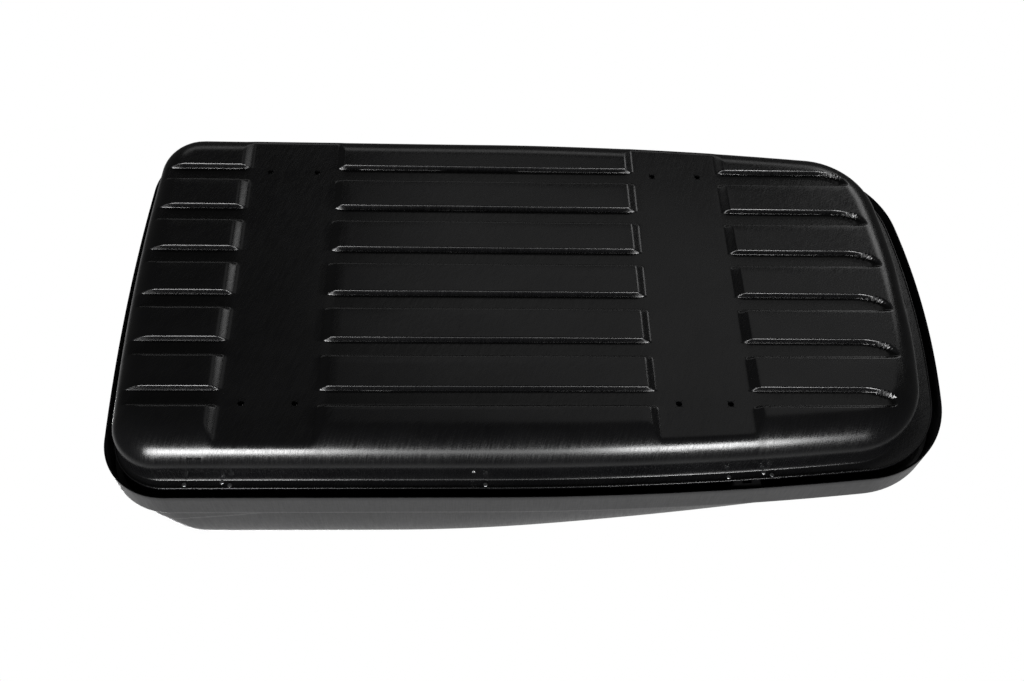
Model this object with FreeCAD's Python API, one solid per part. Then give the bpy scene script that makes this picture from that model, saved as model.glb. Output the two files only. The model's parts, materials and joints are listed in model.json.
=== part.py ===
import FreeCAD, Part
import math
import os

from FreeCAD import Vector

# Roof cargo box, millimetres. The box is in its use orientation: +X to the nose,
# +Y to the hinge side, +Z up. The origin is on the plane the tray's panels stand on,
# below the middle of the box.

# ---- overall sizes
LENGTH = 1530.0
WIDTH = 788.0
HEIGHT = 392.0

# ---- rim outline, seen from above
REAR_BOW_RADIUS = 4500.0
REAR_CORNER_RADIUS = 118.0
TAPER_START_X = -89.0
SIDE_TAPER_RADIUS = 6800.0
NOSE_CORNER_RADIUS = 180.0
NOSE_RADIUS = 1500.0

# ---- lid shell
LID_WALL = 3.5
LID_EDGE_DROP = 1.0
BAND_HEIGHT = 65.0
BAND_STEP = 14.0
DOME_PEAK_FROM_REAR = 260.0
DOME_CAP = 0.995
DOME_SECTIONS = 17
DOME_CROWDING = 1.7
# superellipse powers (rise, run) of the roof towards the nose, the rear and the sides
NOSE_POWERS = (1.08, 1.78)
REAR_POWERS = (1.35, 2.4)
SIDE_POWERS = (4.2, 4.0)

# ---- base tray
TRAY_WALL = 3.0
TRAY_INSET = 35.0
TRAY_EDGE_RADIUS = 60.0
TRAY_NOSE_GAP = 25.0
TRAY_REAR_GAP = -9.0
FLANGE_Z = 100.0
FLANGE_WIDTH = 17.0
FLANGE_LIP_WIDTH = 2.5
FLANGE_LIP_DROP = 1.5
PAD_RECESS = 12.0
PAD_LENGTH = 165.0
PAD_SPACING = 750.0
PAD_SLOPE = 16.0
GROOVE_COUNT = 6
GROOVE_SIDE_MARGIN = 145.0
GROOVE_WIDTH = 38.0
GROOVE_SLOPE = 5.0
GROOVE_TIP_REACH = 13.0
GROOVE_END_SLOPE = 24.0

# ---- clamp holes and the floor rails over them
CLAMP_PITCH = 90.7
CLAMP_SPAN = 515.0
CLAMP_HOLE_RADIUS = 5.5
RAIL_WIDTH = 130.0
RAIL_SIDE_GAP = 79.0
RAIL_SHEET = 2.0
RAIL_DEPTH = 14.0

# ---- hinges
HINGE_FROM_REAR = 196.0
HINGE_FROM_NOSE = 393.0
HINGE_SIDE_GAP = 27.0
HINGE_CLEARANCE = 1.0
KNUCKLE_RADIUS = 4.0
HINGE_PIN_RADIUS = 2.0
RUNNING_GAP = 0.05
KNUCKLE_LENGTH = 16.0
KNUCKLE_GAP = 0.3
LEAF_SHEET = 2.0
LEAF_LENGTH = 104.0
LID_LEAF_DROP = 17.0
LID_LEAF_RISE = 32.0
HINGE_SCREW_RISE = 13.0
HINGE_SCREW_SPOT = 0.8
HINGE_SCREW_SPOT_RADIUS = 5.6
HINGE_SCREW_PITCH = 61.0
HINGE_SCREW_RADIUS = 2.5
HINGE_SCREW_SHIFT = {"rear": 21.0, "front": -11.0}
HINGE_RIVETS = ((-38.0, 9.0), (25.0, 4.6), (39.0, 10.5))

# ---- lid stay (closed position)
STAY_X = -100.0
STAY_FOOT_SIDE_GAP = 69.0
STAY_FOOT_DROP = 30.0
STAY_HEAD_SIDE_GAP = 214.0
STAY_HEAD_SHARE = 0.728
STAY_PIN_RADIUS = 3.0
STAY_TUBE_RADIUS = 9.0
STAY_BORE_RADIUS = 7.5
STAY_ROD_RADIUS = 4.0
STAY_TUBE_START = 17.0
STAY_TUBE_SHARE = 0.722
STAY_ROD_START_SHARE = 0.336
STAY_EAR_GAP = 7.0
STAY_EYE_HOLE = 7.6
STAY_EYE_RADIUS = 12.5

# ---- lock, locking bar, hooks and keepers
LOCK_X = -150.0
LOCK_RISE = 26.0
LOCK_PLUG_RADIUS = 11.0
CAM_RADIUS = 16.0
CAM_PIN_RADIUS = 3.0
BAR_SIDE_GAP = 42.0
BAR_SHEET = 3.0
BAR_RISE = 1.0
BAR_HEIGHT = 24.0
BAR_FROM_REAR = 175.0
BAR_FROM_NOSE = 447.0
BAR_SLOT_GAP = 0.7
GUIDE_FROM_REAR = 335.0
GUIDE_MIDDLE_X = 40.0
GUIDE_FROM_NOSE = 545.0
GUIDE_HALF_LENGTH = 19.0
HOOK_FROM_REAR = 225.0
HOOK_FROM_NOSE = 485.0
HOOK_STEM = 14.0
HOOK_REACH = 20.0
HOOK_FOOT = 6.0
KEEPER_PIN_RADIUS = 3.5
KEEPER_PIN_RISE = 19.0
KEEPER_GAP = 3.0

# ---- fasteners
GUIDE_SPOT = 0.8
GUIDE_GRIP = 8.0
ROOF_SPOT = 1.2
RIVET_RADIUS = 2.4
RIVET_HEAD_RADIUS = 3.8
RIVET_HEAD_HEIGHT = 1.5
FACE_GAP = 0.3

# ---- worked-out sizes
HALF_LENGTH = LENGTH / 2
HALF_WIDTH = WIDTH / 2
FLANGE_TOP_Z = FLANGE_Z + TRAY_WALL
LID_EDGE_Z = FLANGE_Z - LID_EDGE_DROP
BAND_TOP_Z = LID_EDGE_Z + BAND_HEIGHT
DOME_RISE = HEIGHT - BAND_TOP_Z
DOME_PEAK_X = DOME_PEAK_FROM_REAR - HALF_LENGTH
LEAF_TOP_Z = FLANGE_TOP_Z + LEAF_SHEET
PADS_X = TAPER_START_X
PAD_CENTRES = {"rear": PADS_X - PAD_SPACING / 2, "front": PADS_X + PAD_SPACING / 2}
PAD_TOP_Z = PAD_RECESS + TRAY_WALL
GROOVE_PITCH = (WIDTH - 2 * GROOVE_SIDE_MARGIN) / (GROOVE_COUNT - 1)
RAIL_LENGTH = WIDTH - 2 * RAIL_SIDE_GAP
HINGE_X = {"rear": HINGE_FROM_REAR - HALF_LENGTH, "front": HALF_LENGTH - HINGE_FROM_NOSE}
HINGE_Y = HALF_WIDTH - HINGE_SIDE_GAP
HINGE_Z = FLANGE_TOP_Z + KNUCKLE_RADIUS + HINGE_CLEARANCE
HINGE_SCREW_Z = BAND_TOP_Z + HINGE_SCREW_RISE
LID_LEAF_BOTTOM_Z = BAND_TOP_Z - LID_LEAF_DROP
LID_LEAF_TOP_Z = BAND_TOP_Z + LID_LEAF_RISE
STAY_FOOT = (HALF_WIDTH - STAY_FOOT_SIDE_GAP, FLANGE_Z - STAY_FOOT_DROP)
STAY_HEAD = (HALF_WIDTH - STAY_HEAD_SIDE_GAP, BAND_TOP_Z + STAY_HEAD_SHARE * DOME_RISE)
STAY_SPAN = math.hypot(STAY_HEAD[0] - STAY_FOOT[0], STAY_HEAD[1] - STAY_FOOT[1])
STAY_TUBE_END = STAY_TUBE_SHARE * STAY_SPAN
STAY_ROD_START = STAY_ROD_START_SHARE * STAY_SPAN
LOCK_Z = BAND_TOP_Z + LOCK_RISE
BAR_Y = BAR_SIDE_GAP - HALF_WIDTH
BAR_BOTTOM_Z = BAND_TOP_Z + BAR_RISE
BAR_TOP_Z = BAR_BOTTOM_Z + BAR_HEIGHT
BAR_REAR_X = BAR_FROM_REAR - HALF_LENGTH
BAR_FRONT_X = HALF_LENGTH - BAR_FROM_NOSE
GUIDE_X = {"rear": GUIDE_FROM_REAR - HALF_LENGTH, "middle": GUIDE_MIDDLE_X,
           "front": HALF_LENGTH - GUIDE_FROM_NOSE}
HOOK_X = {"rear": HOOK_FROM_REAR - HALF_LENGTH, "front": HALF_LENGTH - HOOK_FROM_NOSE}
KEEPER_PIN_Z = FLANGE_TOP_Z + KEEPER_PIN_RISE
CAM_HALF_THROW = CAM_RADIUS * math.sin(math.radians(45))

parts = {}


def keep(name, shape):
    """Store a node's solids under its name."""
    parts[name] = shape


def box(low, high):
    """Axis-aligned block between two corners."""
    size = [high[i] - low[i] for i in range(3)]
    return Part.makeBox(size[0], size[1], size[2], Vector(*low))


def rod(radius, start, end):
    """Round bar from one point to another."""
    start = Vector(*start)
    along = Vector(*end) - start
    return Part.makeCylinder(radius, along.Length, start, along)


def union(shapes):
    """One shape from overlapping or touching shapes."""
    result = shapes[0]
    for shape in shapes[1:]:
        result = result.fuse(shape)
    return result.removeSplitter()


def cut_all(shape, tools):
    """Shape with every tool taken away."""
    for tool in tools:
        shape = shape.cut(tool)
    return shape


def circle_meeting(centre_a, radius_a, centre_b, radius_b):
    """Point in +X, +Y at the given distances from two centres."""
    dx = centre_b[0] - centre_a[0]
    dy = centre_b[1] - centre_a[1]
    gap = math.hypot(dx, dy)
    along = (radius_a ** 2 - radius_b ** 2 + gap ** 2) / (2 * gap)
    across = math.sqrt(radius_a ** 2 - along ** 2)
    base = (centre_a[0] + along * dx / gap, centre_a[1] + along * dy / gap)
    first = (base[0] - across * dy / gap, base[1] + across * dx / gap)
    second = (base[0] + across * dy / gap, base[1] - across * dx / gap)
    return max(first, second, key=lambda point: point[0])


def touch_point(outer, outer_radius, inner):
    """Where a corner arc touches the large arc around it."""
    dx = inner[0] - outer[0]
    dy = inner[1] - outer[1]
    scale = outer_radius / math.hypot(dx, dy)
    return (outer[0] + dx * scale, outer[1] + dy * scale)


def arc(centre, radius, start, end):
    """Arc about a centre between two points, the short way round."""
    a = math.atan2(start[1] - centre[1], start[0] - centre[0])
    b = math.atan2(end[1] - centre[1], end[0] - centre[0])
    turn = math.remainder(b - a, 2 * math.pi)
    middle = a + turn / 2
    via = Vector(centre[0] + radius * math.cos(middle), centre[1] + radius * math.sin(middle), 0)
    return Part.Arc(Vector(*start, 0), via, Vector(*end, 0)).toShape()


def plan_wire(inset, nose_gap=0.0, rear_gap=0.0):
    """Closed rim outline moved inwards by inset, with extra gaps at its ends, at Z = 0."""
    half = HALF_WIDTH - inset
    rear_r = REAR_BOW_RADIUS - inset
    nose_r = NOSE_RADIUS - inset
    side_r = SIDE_TAPER_RADIUS - inset
    rear_corner_r = REAR_CORNER_RADIUS - inset
    nose_corner_r = NOSE_CORNER_RADIUS - inset
    rear_c = (-HALF_LENGTH + rear_gap + REAR_BOW_RADIUS, 0)
    nose_c = (HALF_LENGTH - nose_gap - NOSE_RADIUS, 0)
    side_c = (TAPER_START_X, HALF_WIDTH - SIDE_TAPER_RADIUS)
    corner_y = HALF_WIDTH - REAR_CORNER_RADIUS
    reach = REAR_BOW_RADIUS - REAR_CORNER_RADIUS
    rear_corner = (rear_c[0] - math.sqrt(reach ** 2 - corner_y ** 2), corner_y)
    nose_corner = circle_meeting(nose_c, NOSE_RADIUS - NOSE_CORNER_RADIUS,
                                 side_c, SIDE_TAPER_RADIUS - NOSE_CORNER_RADIUS)
    rear_touch = touch_point(rear_c, rear_r, rear_corner)
    nose_touch = touch_point(nose_c, nose_r, nose_corner)
    side_touch = touch_point(side_c, side_r, nose_corner)
    corner_end = (rear_corner[0], half)
    taper_start = (TAPER_START_X, half)

    def mirror(point):
        return (point[0], -point[1])

    edges = [
        arc(rear_c, rear_r, mirror(rear_touch), rear_touch),
        arc(rear_corner, rear_corner_r, rear_touch, corner_end),
        Part.makeLine(Vector(*corner_end, 0), Vector(*taper_start, 0)),
        arc(side_c, side_r, taper_start, side_touch),
        arc(nose_corner, nose_corner_r, side_touch, nose_touch),
        arc(nose_c, nose_r, nose_touch, mirror(nose_touch)),
        arc(mirror(nose_corner), nose_corner_r, mirror(nose_touch), mirror(side_touch)),
        arc(mirror(side_c), side_r, mirror(side_touch), mirror(taper_start)),
        Part.makeLine(Vector(*mirror(taper_start), 0), Vector(*mirror(corner_end), 0)),
        arc(mirror(rear_corner), rear_corner_r, mirror(corner_end), mirror(rear_touch)),
    ]
    return Part.Wire(edges)


def plan_prism(inset, low_z, high_z):
    """Upright block with the rim outline moved inwards by inset."""
    face = Part.Face(plan_wire(inset))
    face.translate(Vector(0, 0, low_z))
    return face.extrude(Vector(0, 0, high_z - low_z))


def half_width_at(x, inset):
    """Half width of the inset outline at a place along its side."""
    if x <= TAPER_START_X:
        return HALF_WIDTH - inset
    run = x - TAPER_START_X
    side_r = SIDE_TAPER_RADIUS - inset
    return HALF_WIDTH - SIDE_TAPER_RADIUS + math.sqrt(side_r ** 2 - run ** 2)


def dome_scales(t):
    """Shrink factors of the dome outline (nose, rear, side) at a share t of its rise."""
    return [(1 - t ** rise) ** (1 / run) for rise, run in (NOSE_POWERS, REAR_POWERS, SIDE_POWERS)]


def dome_wall_y(x, z, inset):
    """Half width of the dome's surface at a place on its side wall."""
    nose, _, side = dome_scales(max(0.0, (z - BAND_TOP_Z) / DOME_RISE))
    stretched = DOME_PEAK_X + (x - DOME_PEAK_X) / nose if x > DOME_PEAK_X else x
    return side * half_width_at(stretched, inset)


def dome(inset, base_z):
    """Solid dome: the inset outline shrinking to a small flat cap at the peak."""
    rise = DOME_RISE - (inset - BAND_STEP)
    outline = plan_wire(inset)
    reach = 2 * LENGTH
    ahead = Part.makeBox(reach, reach, 2, Vector(DOME_PEAK_X, -reach / 2, -1))
    front = outline.common(ahead)
    rear = outline.cut(ahead)
    levels = [(base_z, 0.0)]
    for i in range(DOME_SECTIONS):
        t = DOME_CAP * (1 - (1 - i / (DOME_SECTIONS - 1)) ** DOME_CROWDING)
        levels.append((BAND_TOP_Z + t * rise, t))
    wires = []
    for z, t in levels:
        nose_scale, rear_scale, side_scale = dome_scales(t)
        edges = []
        for part, scale in ((front, nose_scale), (rear, rear_scale)):
            shrink = FreeCAD.Matrix()
            shrink.A11 = scale
            shrink.A22 = side_scale
            shrink.A14 = DOME_PEAK_X * (1 - scale)
            shrink.A34 = z
            edges += part.transformGeometry(shrink).Edges
        wires.append(Part.Wire(Part.__sortEdges__(edges)))
    return Part.makeLoft(wires, True, True)


def tapered_block(low, high, low_z, high_z):
    """Block between two rectangles (x0, x1, y0, y1) at two heights."""
    wires = []
    for rectangle, z in ((low, low_z), (high, high_z)):
        x0, x1, y0, y1 = rectangle
        corners = [Vector(x0, y0, z), Vector(x1, y0, z), Vector(x1, y1, z), Vector(x0, y1, z)]
        wires.append(Part.makePolygon(corners + corners[:1]))
    return Part.makeLoft(wires, True, True)


def rounded_tub(inset, floor_z, edge_radius):
    """Solid tub up to the flange with its bottom edge rounded."""
    face = Part.Face(plan_wire(inset, TRAY_NOSE_GAP, TRAY_REAR_GAP))
    face.translate(Vector(0, 0, floor_z))
    tub = face.extrude(Vector(0, 0, FLANGE_TOP_Z - floor_z))
    bottom = [edge for edge in tub.Edges if edge.BoundBox.ZMax < floor_z + 0.01]
    return tub.makeFillet(edge_radius, bottom)


def pad_block(centre, grow, low_z, high_z):
    """Cross-bar pad channel with sloping sides, grown sideways by a wall."""
    run = PAD_SLOPE / PAD_RECESS
    top = PAD_LENGTH / 2 + grow
    low = top + run * (high_z - low_z)
    return tapered_block((centre - low, centre + low, -WIDTH, WIDTH),
                         (centre - top, centre + top, -WIDTH, WIDTH), low_z, high_z)


def groove_block(start, end, y, grow, low_z, high_z, open_end):
    """Groove between two panel rows, with a sloping end unless it runs out."""
    spread = GROOVE_SLOPE / PAD_RECESS * (high_z - low_z)
    ramp = 0 if open_end else GROOVE_END_SLOPE / PAD_RECESS * (high_z - low_z)
    top = GROOVE_WIDTH / 2 - GROOVE_SLOPE + grow
    low = top + spread
    return tapered_block((start, end + grow + ramp, y - low, y + low),
                         (start, end + grow, y - top, y + top), low_z, high_z)


def floor_channels(grow, low_z, high_z):
    """All pad channels and grooves of the tray floor."""
    rear_pad = PAD_CENTRES["rear"]
    front_pad = PAD_CENTRES["front"]
    flat_end = HALF_LENGTH - TRAY_NOSE_GAP - TRAY_INSET - TRAY_EDGE_RADIUS
    blocks = [pad_block(centre, grow, low_z, high_z) for centre in PAD_CENTRES.values()]
    for i in range(GROOVE_COUNT):
        y = (i - (GROOVE_COUNT - 1) / 2) * GROOVE_PITCH
        blocks.append(groove_block(-LENGTH, rear_pad, y, grow, low_z, high_z, True))
        blocks.append(groove_block(rear_pad, front_pad, y, grow, low_z, high_z, True))
        tip = flat_end + GROOVE_TIP_REACH - y * y / (1.5 * NOSE_RADIUS)
        nose_start = tip - GROOVE_END_SLOPE
        blocks.append(groove_block(front_pad, nose_start, y, grow, low_z, high_z, False))
    return blocks


def clamp_holes(low_z, high_z, only=None):
    """Round cutters for the clamp holes of one pad or of both."""
    cutters = []
    for name, centre in PAD_CENTRES.items():
        if only is None or only == name:
            for dx in (-CLAMP_PITCH / 2, CLAMP_PITCH / 2):
                for y in (-CLAMP_SPAN / 2, CLAMP_SPAN / 2):
                    x = centre + dx
                    cutters.append(rod(CLAMP_HOLE_RADIUS, (x, y, low_z), (x, y, high_z)))
    return cutters


def rivet(start, direction, grip):
    """Rivet whose head lies before start and whose tail lies after the grip."""
    start = Vector(*start)
    along = Vector(*direction)
    crown = start - along * RIVET_HEAD_HEIGHT
    head = Part.makeCylinder(RIVET_HEAD_RADIUS, RIVET_HEAD_HEIGHT, crown, along)
    half = RIVET_HEAD_HEIGHT / 2
    rim = [edge for edge in head.Edges if (edge.BoundBox.Center - start).dot(along) < -half]
    head = head.makeFillet(RIVET_HEAD_HEIGHT * 0.8, rim[:1])
    shank = Part.makeCylinder(RIVET_RADIUS, grip + RIVET_HEAD_HEIGHT, start, along)
    tail = Part.makeCylinder(RIVET_HEAD_RADIUS - 0.4, RIVET_HEAD_HEIGHT, start + along * grip, along)
    return union([head, shank, tail])


def rivet_hole(start, direction, grip):
    """Clearance hole for a rivet's shank."""
    start = Vector(*start)
    along = Vector(*direction)
    return Part.makeCylinder(RIVET_RADIUS, grip + 2, start - along, along)


def hinge_rivet_places(name):
    """Rivet positions (x, y) of a hinge's tray leaf on the flange."""
    centre = HINGE_X[name]
    return [(centre + dx, half_width_at(centre + dx, TRAY_INSET) + dy) for dx, dy in HINGE_RIVETS]


def hinge_screw_places(name):
    """X positions of a hinge's lid screws."""
    middle = HINGE_X[name] + HINGE_SCREW_SHIFT[name]
    return [middle + side * HINGE_SCREW_PITCH / 2 for side in (-1, 1)]


def keeper_x(name):
    """X position of a keeper's pin, just in front of its resting hook."""
    return HOOK_X[name] + HOOK_STEM / 2 + HOOK_REACH + KEEPER_GAP + KEEPER_PIN_RADIUS


def keeper_rivet_places(name):
    """Rivet positions (x, y) of a keeper on the flange of the lock side."""
    x = keeper_x(name)
    return [(x + dx, -half_width_at(x + dx, TRAY_INSET) - 8.5) for dx in (-11.0, 11.0)]


# ---- dome solids used for the shell and for what follows its inner face
dome_outer = dome(BAND_STEP, BAND_TOP_Z - LID_WALL)
dome_inner = dome(BAND_STEP + LID_WALL, BAND_TOP_Z - LID_WALL - 1)
liner_outer = dome(BAND_STEP + LID_WALL + FACE_GAP, LID_LEAF_BOTTOM_Z)
liner_inner = dome(BAND_STEP + LID_WALL + FACE_GAP + LEAF_SHEET, LID_LEAF_BOTTOM_Z - 1)


def make_base_tray():
    """Moulded tray: panels, pads, grooves, rounded edge, flange and all its holes."""
    flange = plan_prism(TRAY_INSET - FLANGE_WIDTH, FLANGE_Z, FLANGE_TOP_Z)
    lip = plan_prism(TRAY_INSET - FLANGE_WIDTH, FLANGE_Z - FLANGE_LIP_DROP, FLANGE_Z + 1)
    lip = lip.cut(plan_prism(TRAY_INSET - FLANGE_WIDTH + FLANGE_LIP_WIDTH, FLANGE_Z - 5, FLANGE_Z + 5))
    outside = rounded_tub(TRAY_INSET, 0, TRAY_EDGE_RADIUS)
    outside = cut_all(outside, floor_channels(0, -5, PAD_RECESS))
    cavity = rounded_tub(TRAY_INSET + TRAY_WALL, TRAY_WALL, TRAY_EDGE_RADIUS - TRAY_WALL)
    cavity = cut_all(cavity, floor_channels(TRAY_WALL, TRAY_WALL - 5, PAD_TOP_Z))
    tray = union([outside, flange, lip]).cut(cavity)
    cutters = clamp_holes(PAD_RECESS - 5, PAD_TOP_Z + 5)
    for name in HINGE_X:
        for x, y in hinge_rivet_places(name):
            cutters.append(rivet_hole((x, y, FLANGE_Z), (0, 0, 1), TRAY_WALL + LEAF_SHEET))
    for name in HOOK_X:
        for x, y in keeper_rivet_places(name):
            cutters.append(rivet_hole((x, y, FLANGE_Z), (0, 0, 1), TRAY_WALL + LEAF_SHEET))
    for start, direction in stay_tray_rivet_places():
        cutters.append(rivet_hole(start, direction, TRAY_WALL + LEAF_SHEET))
    keep("base_tray", cut_all(tray, cutters))


def make_floor_rail(name):
    """Steel channel on the tray floor over one pad, with its clamp holes."""
    centre = PAD_CENTRES[name]
    half = RAIL_WIDTH / 2
    end = RAIL_LENGTH / 2
    rail = box((centre - half, -end, PAD_TOP_Z), (centre + half, end, PAD_TOP_Z + RAIL_DEPTH))
    inside = box((centre - half + RAIL_SHEET, -WIDTH, PAD_TOP_Z + RAIL_SHEET),
                 (centre + half - RAIL_SHEET, WIDTH, PAD_TOP_Z + RAIL_DEPTH + 1))
    rail = rail.cut(inside)
    keep(name + "_floor_rail", cut_all(rail, clamp_holes(PAD_RECESS, PAD_TOP_Z + 5, name)))


def stay_tray_rivet_places():
    """The stay bracket's two rivets: one through the tray wall, one through the flange."""
    wall_y = half_width_at(STAY_X, TRAY_INSET)
    return [((STAY_X - 14, wall_y, STAY_FOOT[1]), (0, -1, 0)),
            ((STAY_X + 7, wall_y + 10, FLANGE_Z), (0, 0, 1))]


def stay_lid_rivet_places():
    """Where the stay's lid bracket is riveted through the roof (x, y, roof height)."""
    places = []
    for dx in (-20.0, 20.0):
        x = STAY_X + dx
        low = Vector(x, STAY_HEAD[0], BAND_TOP_Z)
        high = Vector(x, STAY_HEAD[0], HEIGHT)
        line = Part.makeLine(low, high)
        inside = dome_outer.common(line)
        places.append((x, STAY_HEAD[0], inside.BoundBox.ZMax))
    return places


def make_lid_shell():
    """Moulded lid: skirt band, step, domed roof and its holes."""
    outside = union([plan_prism(0, LID_EDGE_Z, BAND_TOP_Z), dome_outer])
    skirt_inside = plan_prism(LID_WALL, LID_EDGE_Z - 1, BAND_TOP_Z - LID_WALL)
    shell = outside.cut(skirt_inside).cut(dome_inner)
    cutters = []
    for name in HINGE_X:
        for x in hinge_screw_places(name):
            wall_y = dome_wall_y(x, HINGE_SCREW_Z, BAND_STEP)
            cutters.append(rod(HINGE_SCREW_RADIUS, (x, wall_y - 20, HINGE_SCREW_Z),
                               (x, wall_y + 5, HINGE_SCREW_Z)))
            cutters.append(rod(HINGE_SCREW_SPOT_RADIUS, (x, wall_y - HINGE_SCREW_SPOT, HINGE_SCREW_Z),
                               (x, wall_y + 9, HINGE_SCREW_Z)))
    wall_y = dome_wall_y(LOCK_X, LOCK_Z, BAND_STEP)
    lock_hole = rod(LOCK_PLUG_RADIUS + 3, (LOCK_X, -wall_y - 9, LOCK_Z), (LOCK_X, -wall_y + 20, LOCK_Z))
    cutters.append(lock_hole)
    for x, y in guide_rivet_places():
        cutters.append(rod(RIVET_RADIUS, (x, y - 5, LOCK_Z), (x, y + 20, LOCK_Z)))
        cutters.append(rod(RIVET_HEAD_RADIUS + FACE_GAP, (x, y - 9, LOCK_Z), (x, y + GUIDE_SPOT, LOCK_Z)))
    for x, y, z in stay_lid_rivet_places():
        cutters.append(rod(RIVET_RADIUS, (x, y, z - 20), (x, y, z + 5)))
        cutters.append(rod(RIVET_HEAD_RADIUS + FACE_GAP, (x, y, z - ROOF_SPOT), (x, y, z + 9)))
    keep("lid_shell", cut_all(shell, cutters))


def make_hinge(name):
    """Tray leaf, lid leaf and pin of one hinge."""
    centre = HINGE_X[name]
    barrel_start = centre - 30.0
    starts = [barrel_start + i * KNUCKLE_LENGTH for i in range(3)]
    knuckles = []
    for x in starts:
        end = x + KNUCKLE_LENGTH - KNUCKLE_GAP
        knuckles.append(rod(KNUCKLE_RADIUS, (x, HINGE_Y, HINGE_Z), (end, HINGE_Y, HINGE_Z)))
    bore = rod(HINGE_PIN_RADIUS + RUNNING_GAP, (barrel_start - 5, HINGE_Y, HINGE_Z),
               (barrel_start + 60, HINGE_Y, HINGE_Z))
    wall_y = half_width_at(centre, TRAY_INSET)
    half = LEAF_LENGTH / 2
    plate = box((centre - half, wall_y - 11, FLANGE_TOP_Z), (centre + half, wall_y + 15, LEAF_TOP_Z))
    plate = plate.common(plan_prism(TRAY_INSET - FLANGE_WIDTH + 1, 0, HEIGHT))
    pieces = [plate]
    for i in (0, 2):
        x = starts[i]
        end = x + KNUCKLE_LENGTH - KNUCKLE_GAP
        pieces.append(box((x, wall_y, FLANGE_TOP_Z), (end, HINGE_Y, LEAF_TOP_Z)))
        pieces.append(knuckles[i])
    clearance = box((starts[1] - KNUCKLE_GAP, HINGE_Y - KNUCKLE_RADIUS - 1, FLANGE_TOP_Z - 1),
                    (starts[1] + KNUCKLE_LENGTH, HINGE_Y + 20, LEAF_TOP_Z + 1))
    leaf = union(pieces).cut(clearance).cut(bore)
    for x, y in hinge_rivet_places(name):
        leaf = leaf.cut(rivet_hole((x, y, FLANGE_Z), (0, 0, 1), TRAY_WALL + LEAF_SHEET))
    keep(name + "_hinge_tray_leaf", leaf)

    x = starts[1]
    end = x + KNUCKLE_LENGTH - KNUCKLE_GAP
    tongue_y = HINGE_Y + KNUCKLE_RADIUS - LEAF_SHEET
    tongue = box((x, tongue_y, HINGE_Z), (end, HINGE_Y + KNUCKLE_RADIUS, LID_LEAF_BOTTOM_Z + LEAF_SHEET))
    lid_y = half_width_at(centre + half, BAND_STEP + LID_WALL) - 6
    far_y = half_width_at(centre - half, BAND_STEP + LID_WALL)
    shelf = box((x, min(lid_y, tongue_y), LID_LEAF_BOTTOM_Z),
                (end, max(far_y, HINGE_Y + KNUCKLE_RADIUS), LID_LEAF_BOTTOM_Z + LEAF_SHEET))
    strip = liner_outer.cut(liner_inner)
    window = box((centre - half, 0, LID_LEAF_BOTTOM_Z), (centre + half, WIDTH, LID_LEAF_TOP_Z))
    strip = strip.common(window)
    lid_leaf = union([knuckles[1], tongue, shelf, strip]).cut(bore)
    for screw_x in hinge_screw_places(name):
        screw_hole = rod(HINGE_SCREW_RADIUS, (screw_x, 0, HINGE_SCREW_Z), (screw_x, WIDTH, HINGE_SCREW_Z))
        lid_leaf = lid_leaf.cut(screw_hole)
    keep(name + "_hinge_lid_leaf", lid_leaf)

    pin_start = barrel_start - 1.5
    pin_end = starts[2] + KNUCKLE_LENGTH + 1.5
    pin = union([rod(HINGE_PIN_RADIUS, (pin_start, HINGE_Y, HINGE_Z), (pin_end, HINGE_Y, HINGE_Z)),
                 rod(3.0, (pin_start - 1.2, HINGE_Y, HINGE_Z), (barrel_start - 0.2, HINGE_Y, HINGE_Z))])
    keep(name + "_hinge_pin", pin)


def make_hinge_fasteners():
    """Rivets through the flange, screws through the lid wall, and their nuts."""
    rivets = []
    screws = []
    nuts = []
    for name in HINGE_X:
        for x, y in hinge_rivet_places(name):
            rivets.append(rivet((x, y, FLANGE_Z), (0, 0, 1), TRAY_WALL + LEAF_SHEET))
        for x in hinge_screw_places(name):
            face_y = dome_wall_y(x, HINGE_SCREW_Z, BAND_STEP) - HINGE_SCREW_SPOT
            leaf_inset = BAND_STEP + LID_WALL + FACE_GAP + LEAF_SHEET
            inner_y = dome_wall_y(x, HINGE_SCREW_Z, leaf_inset) - HINGE_SCREW_SPOT
            head = Part.makeCylinder(5.0, 3.0, Vector(x, face_y, HINGE_SCREW_Z), Vector(0, 1, 0))
            rim = [edge for edge in head.Edges if edge.BoundBox.YMin > face_y + 2.9]
            head = head.makeFillet(1.6, rim[:1])
            socket = Part.makeCylinder(1.8, 2.0, Vector(x, face_y + 1.4, HINGE_SCREW_Z), Vector(0, 1, 0))
            shank_end = (x, inner_y - 5.5, HINGE_SCREW_Z)
            shank = rod(HINGE_SCREW_RADIUS, shank_end, (x, face_y + 0.5, HINGE_SCREW_Z))
            screws.append(union([head, shank]).cut(socket))
            nuts.append(hex_nut((x, inner_y - 4.2, HINGE_SCREW_Z), 4.4, 4.0, HINGE_SCREW_RADIUS))
    keep("hinge_rivets", Part.makeCompound(rivets))
    keep("hinge_screws", Part.makeCompound(screws))
    keep("hinge_nuts", Part.makeCompound(nuts))


def hex_nut(low, corner_radius, height, bore_radius):
    """Hexagon nut standing along +Y from its low face."""
    corners = [Vector(low[0] + corner_radius * math.cos(i * math.pi / 3), low[1],
                      low[2] + corner_radius * math.sin(i * math.pi / 3)) for i in range(6)]
    body = Part.Face(Part.makePolygon(corners + corners[:1])).extrude(Vector(0, height, 0))
    return body.cut(rod(bore_radius, (low[0], low[1] - 1, low[2]), (low[0], low[1] + height + 1, low[2])))


def stay_point(distance):
    """Point (y, z) on the stay's line at a distance from its foot pin."""
    share = distance / STAY_SPAN
    return (STAY_FOOT[0] + share * (STAY_HEAD[0] - STAY_FOOT[0]),
            STAY_FOOT[1] + share * (STAY_HEAD[1] - STAY_FOOT[1]))


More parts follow.
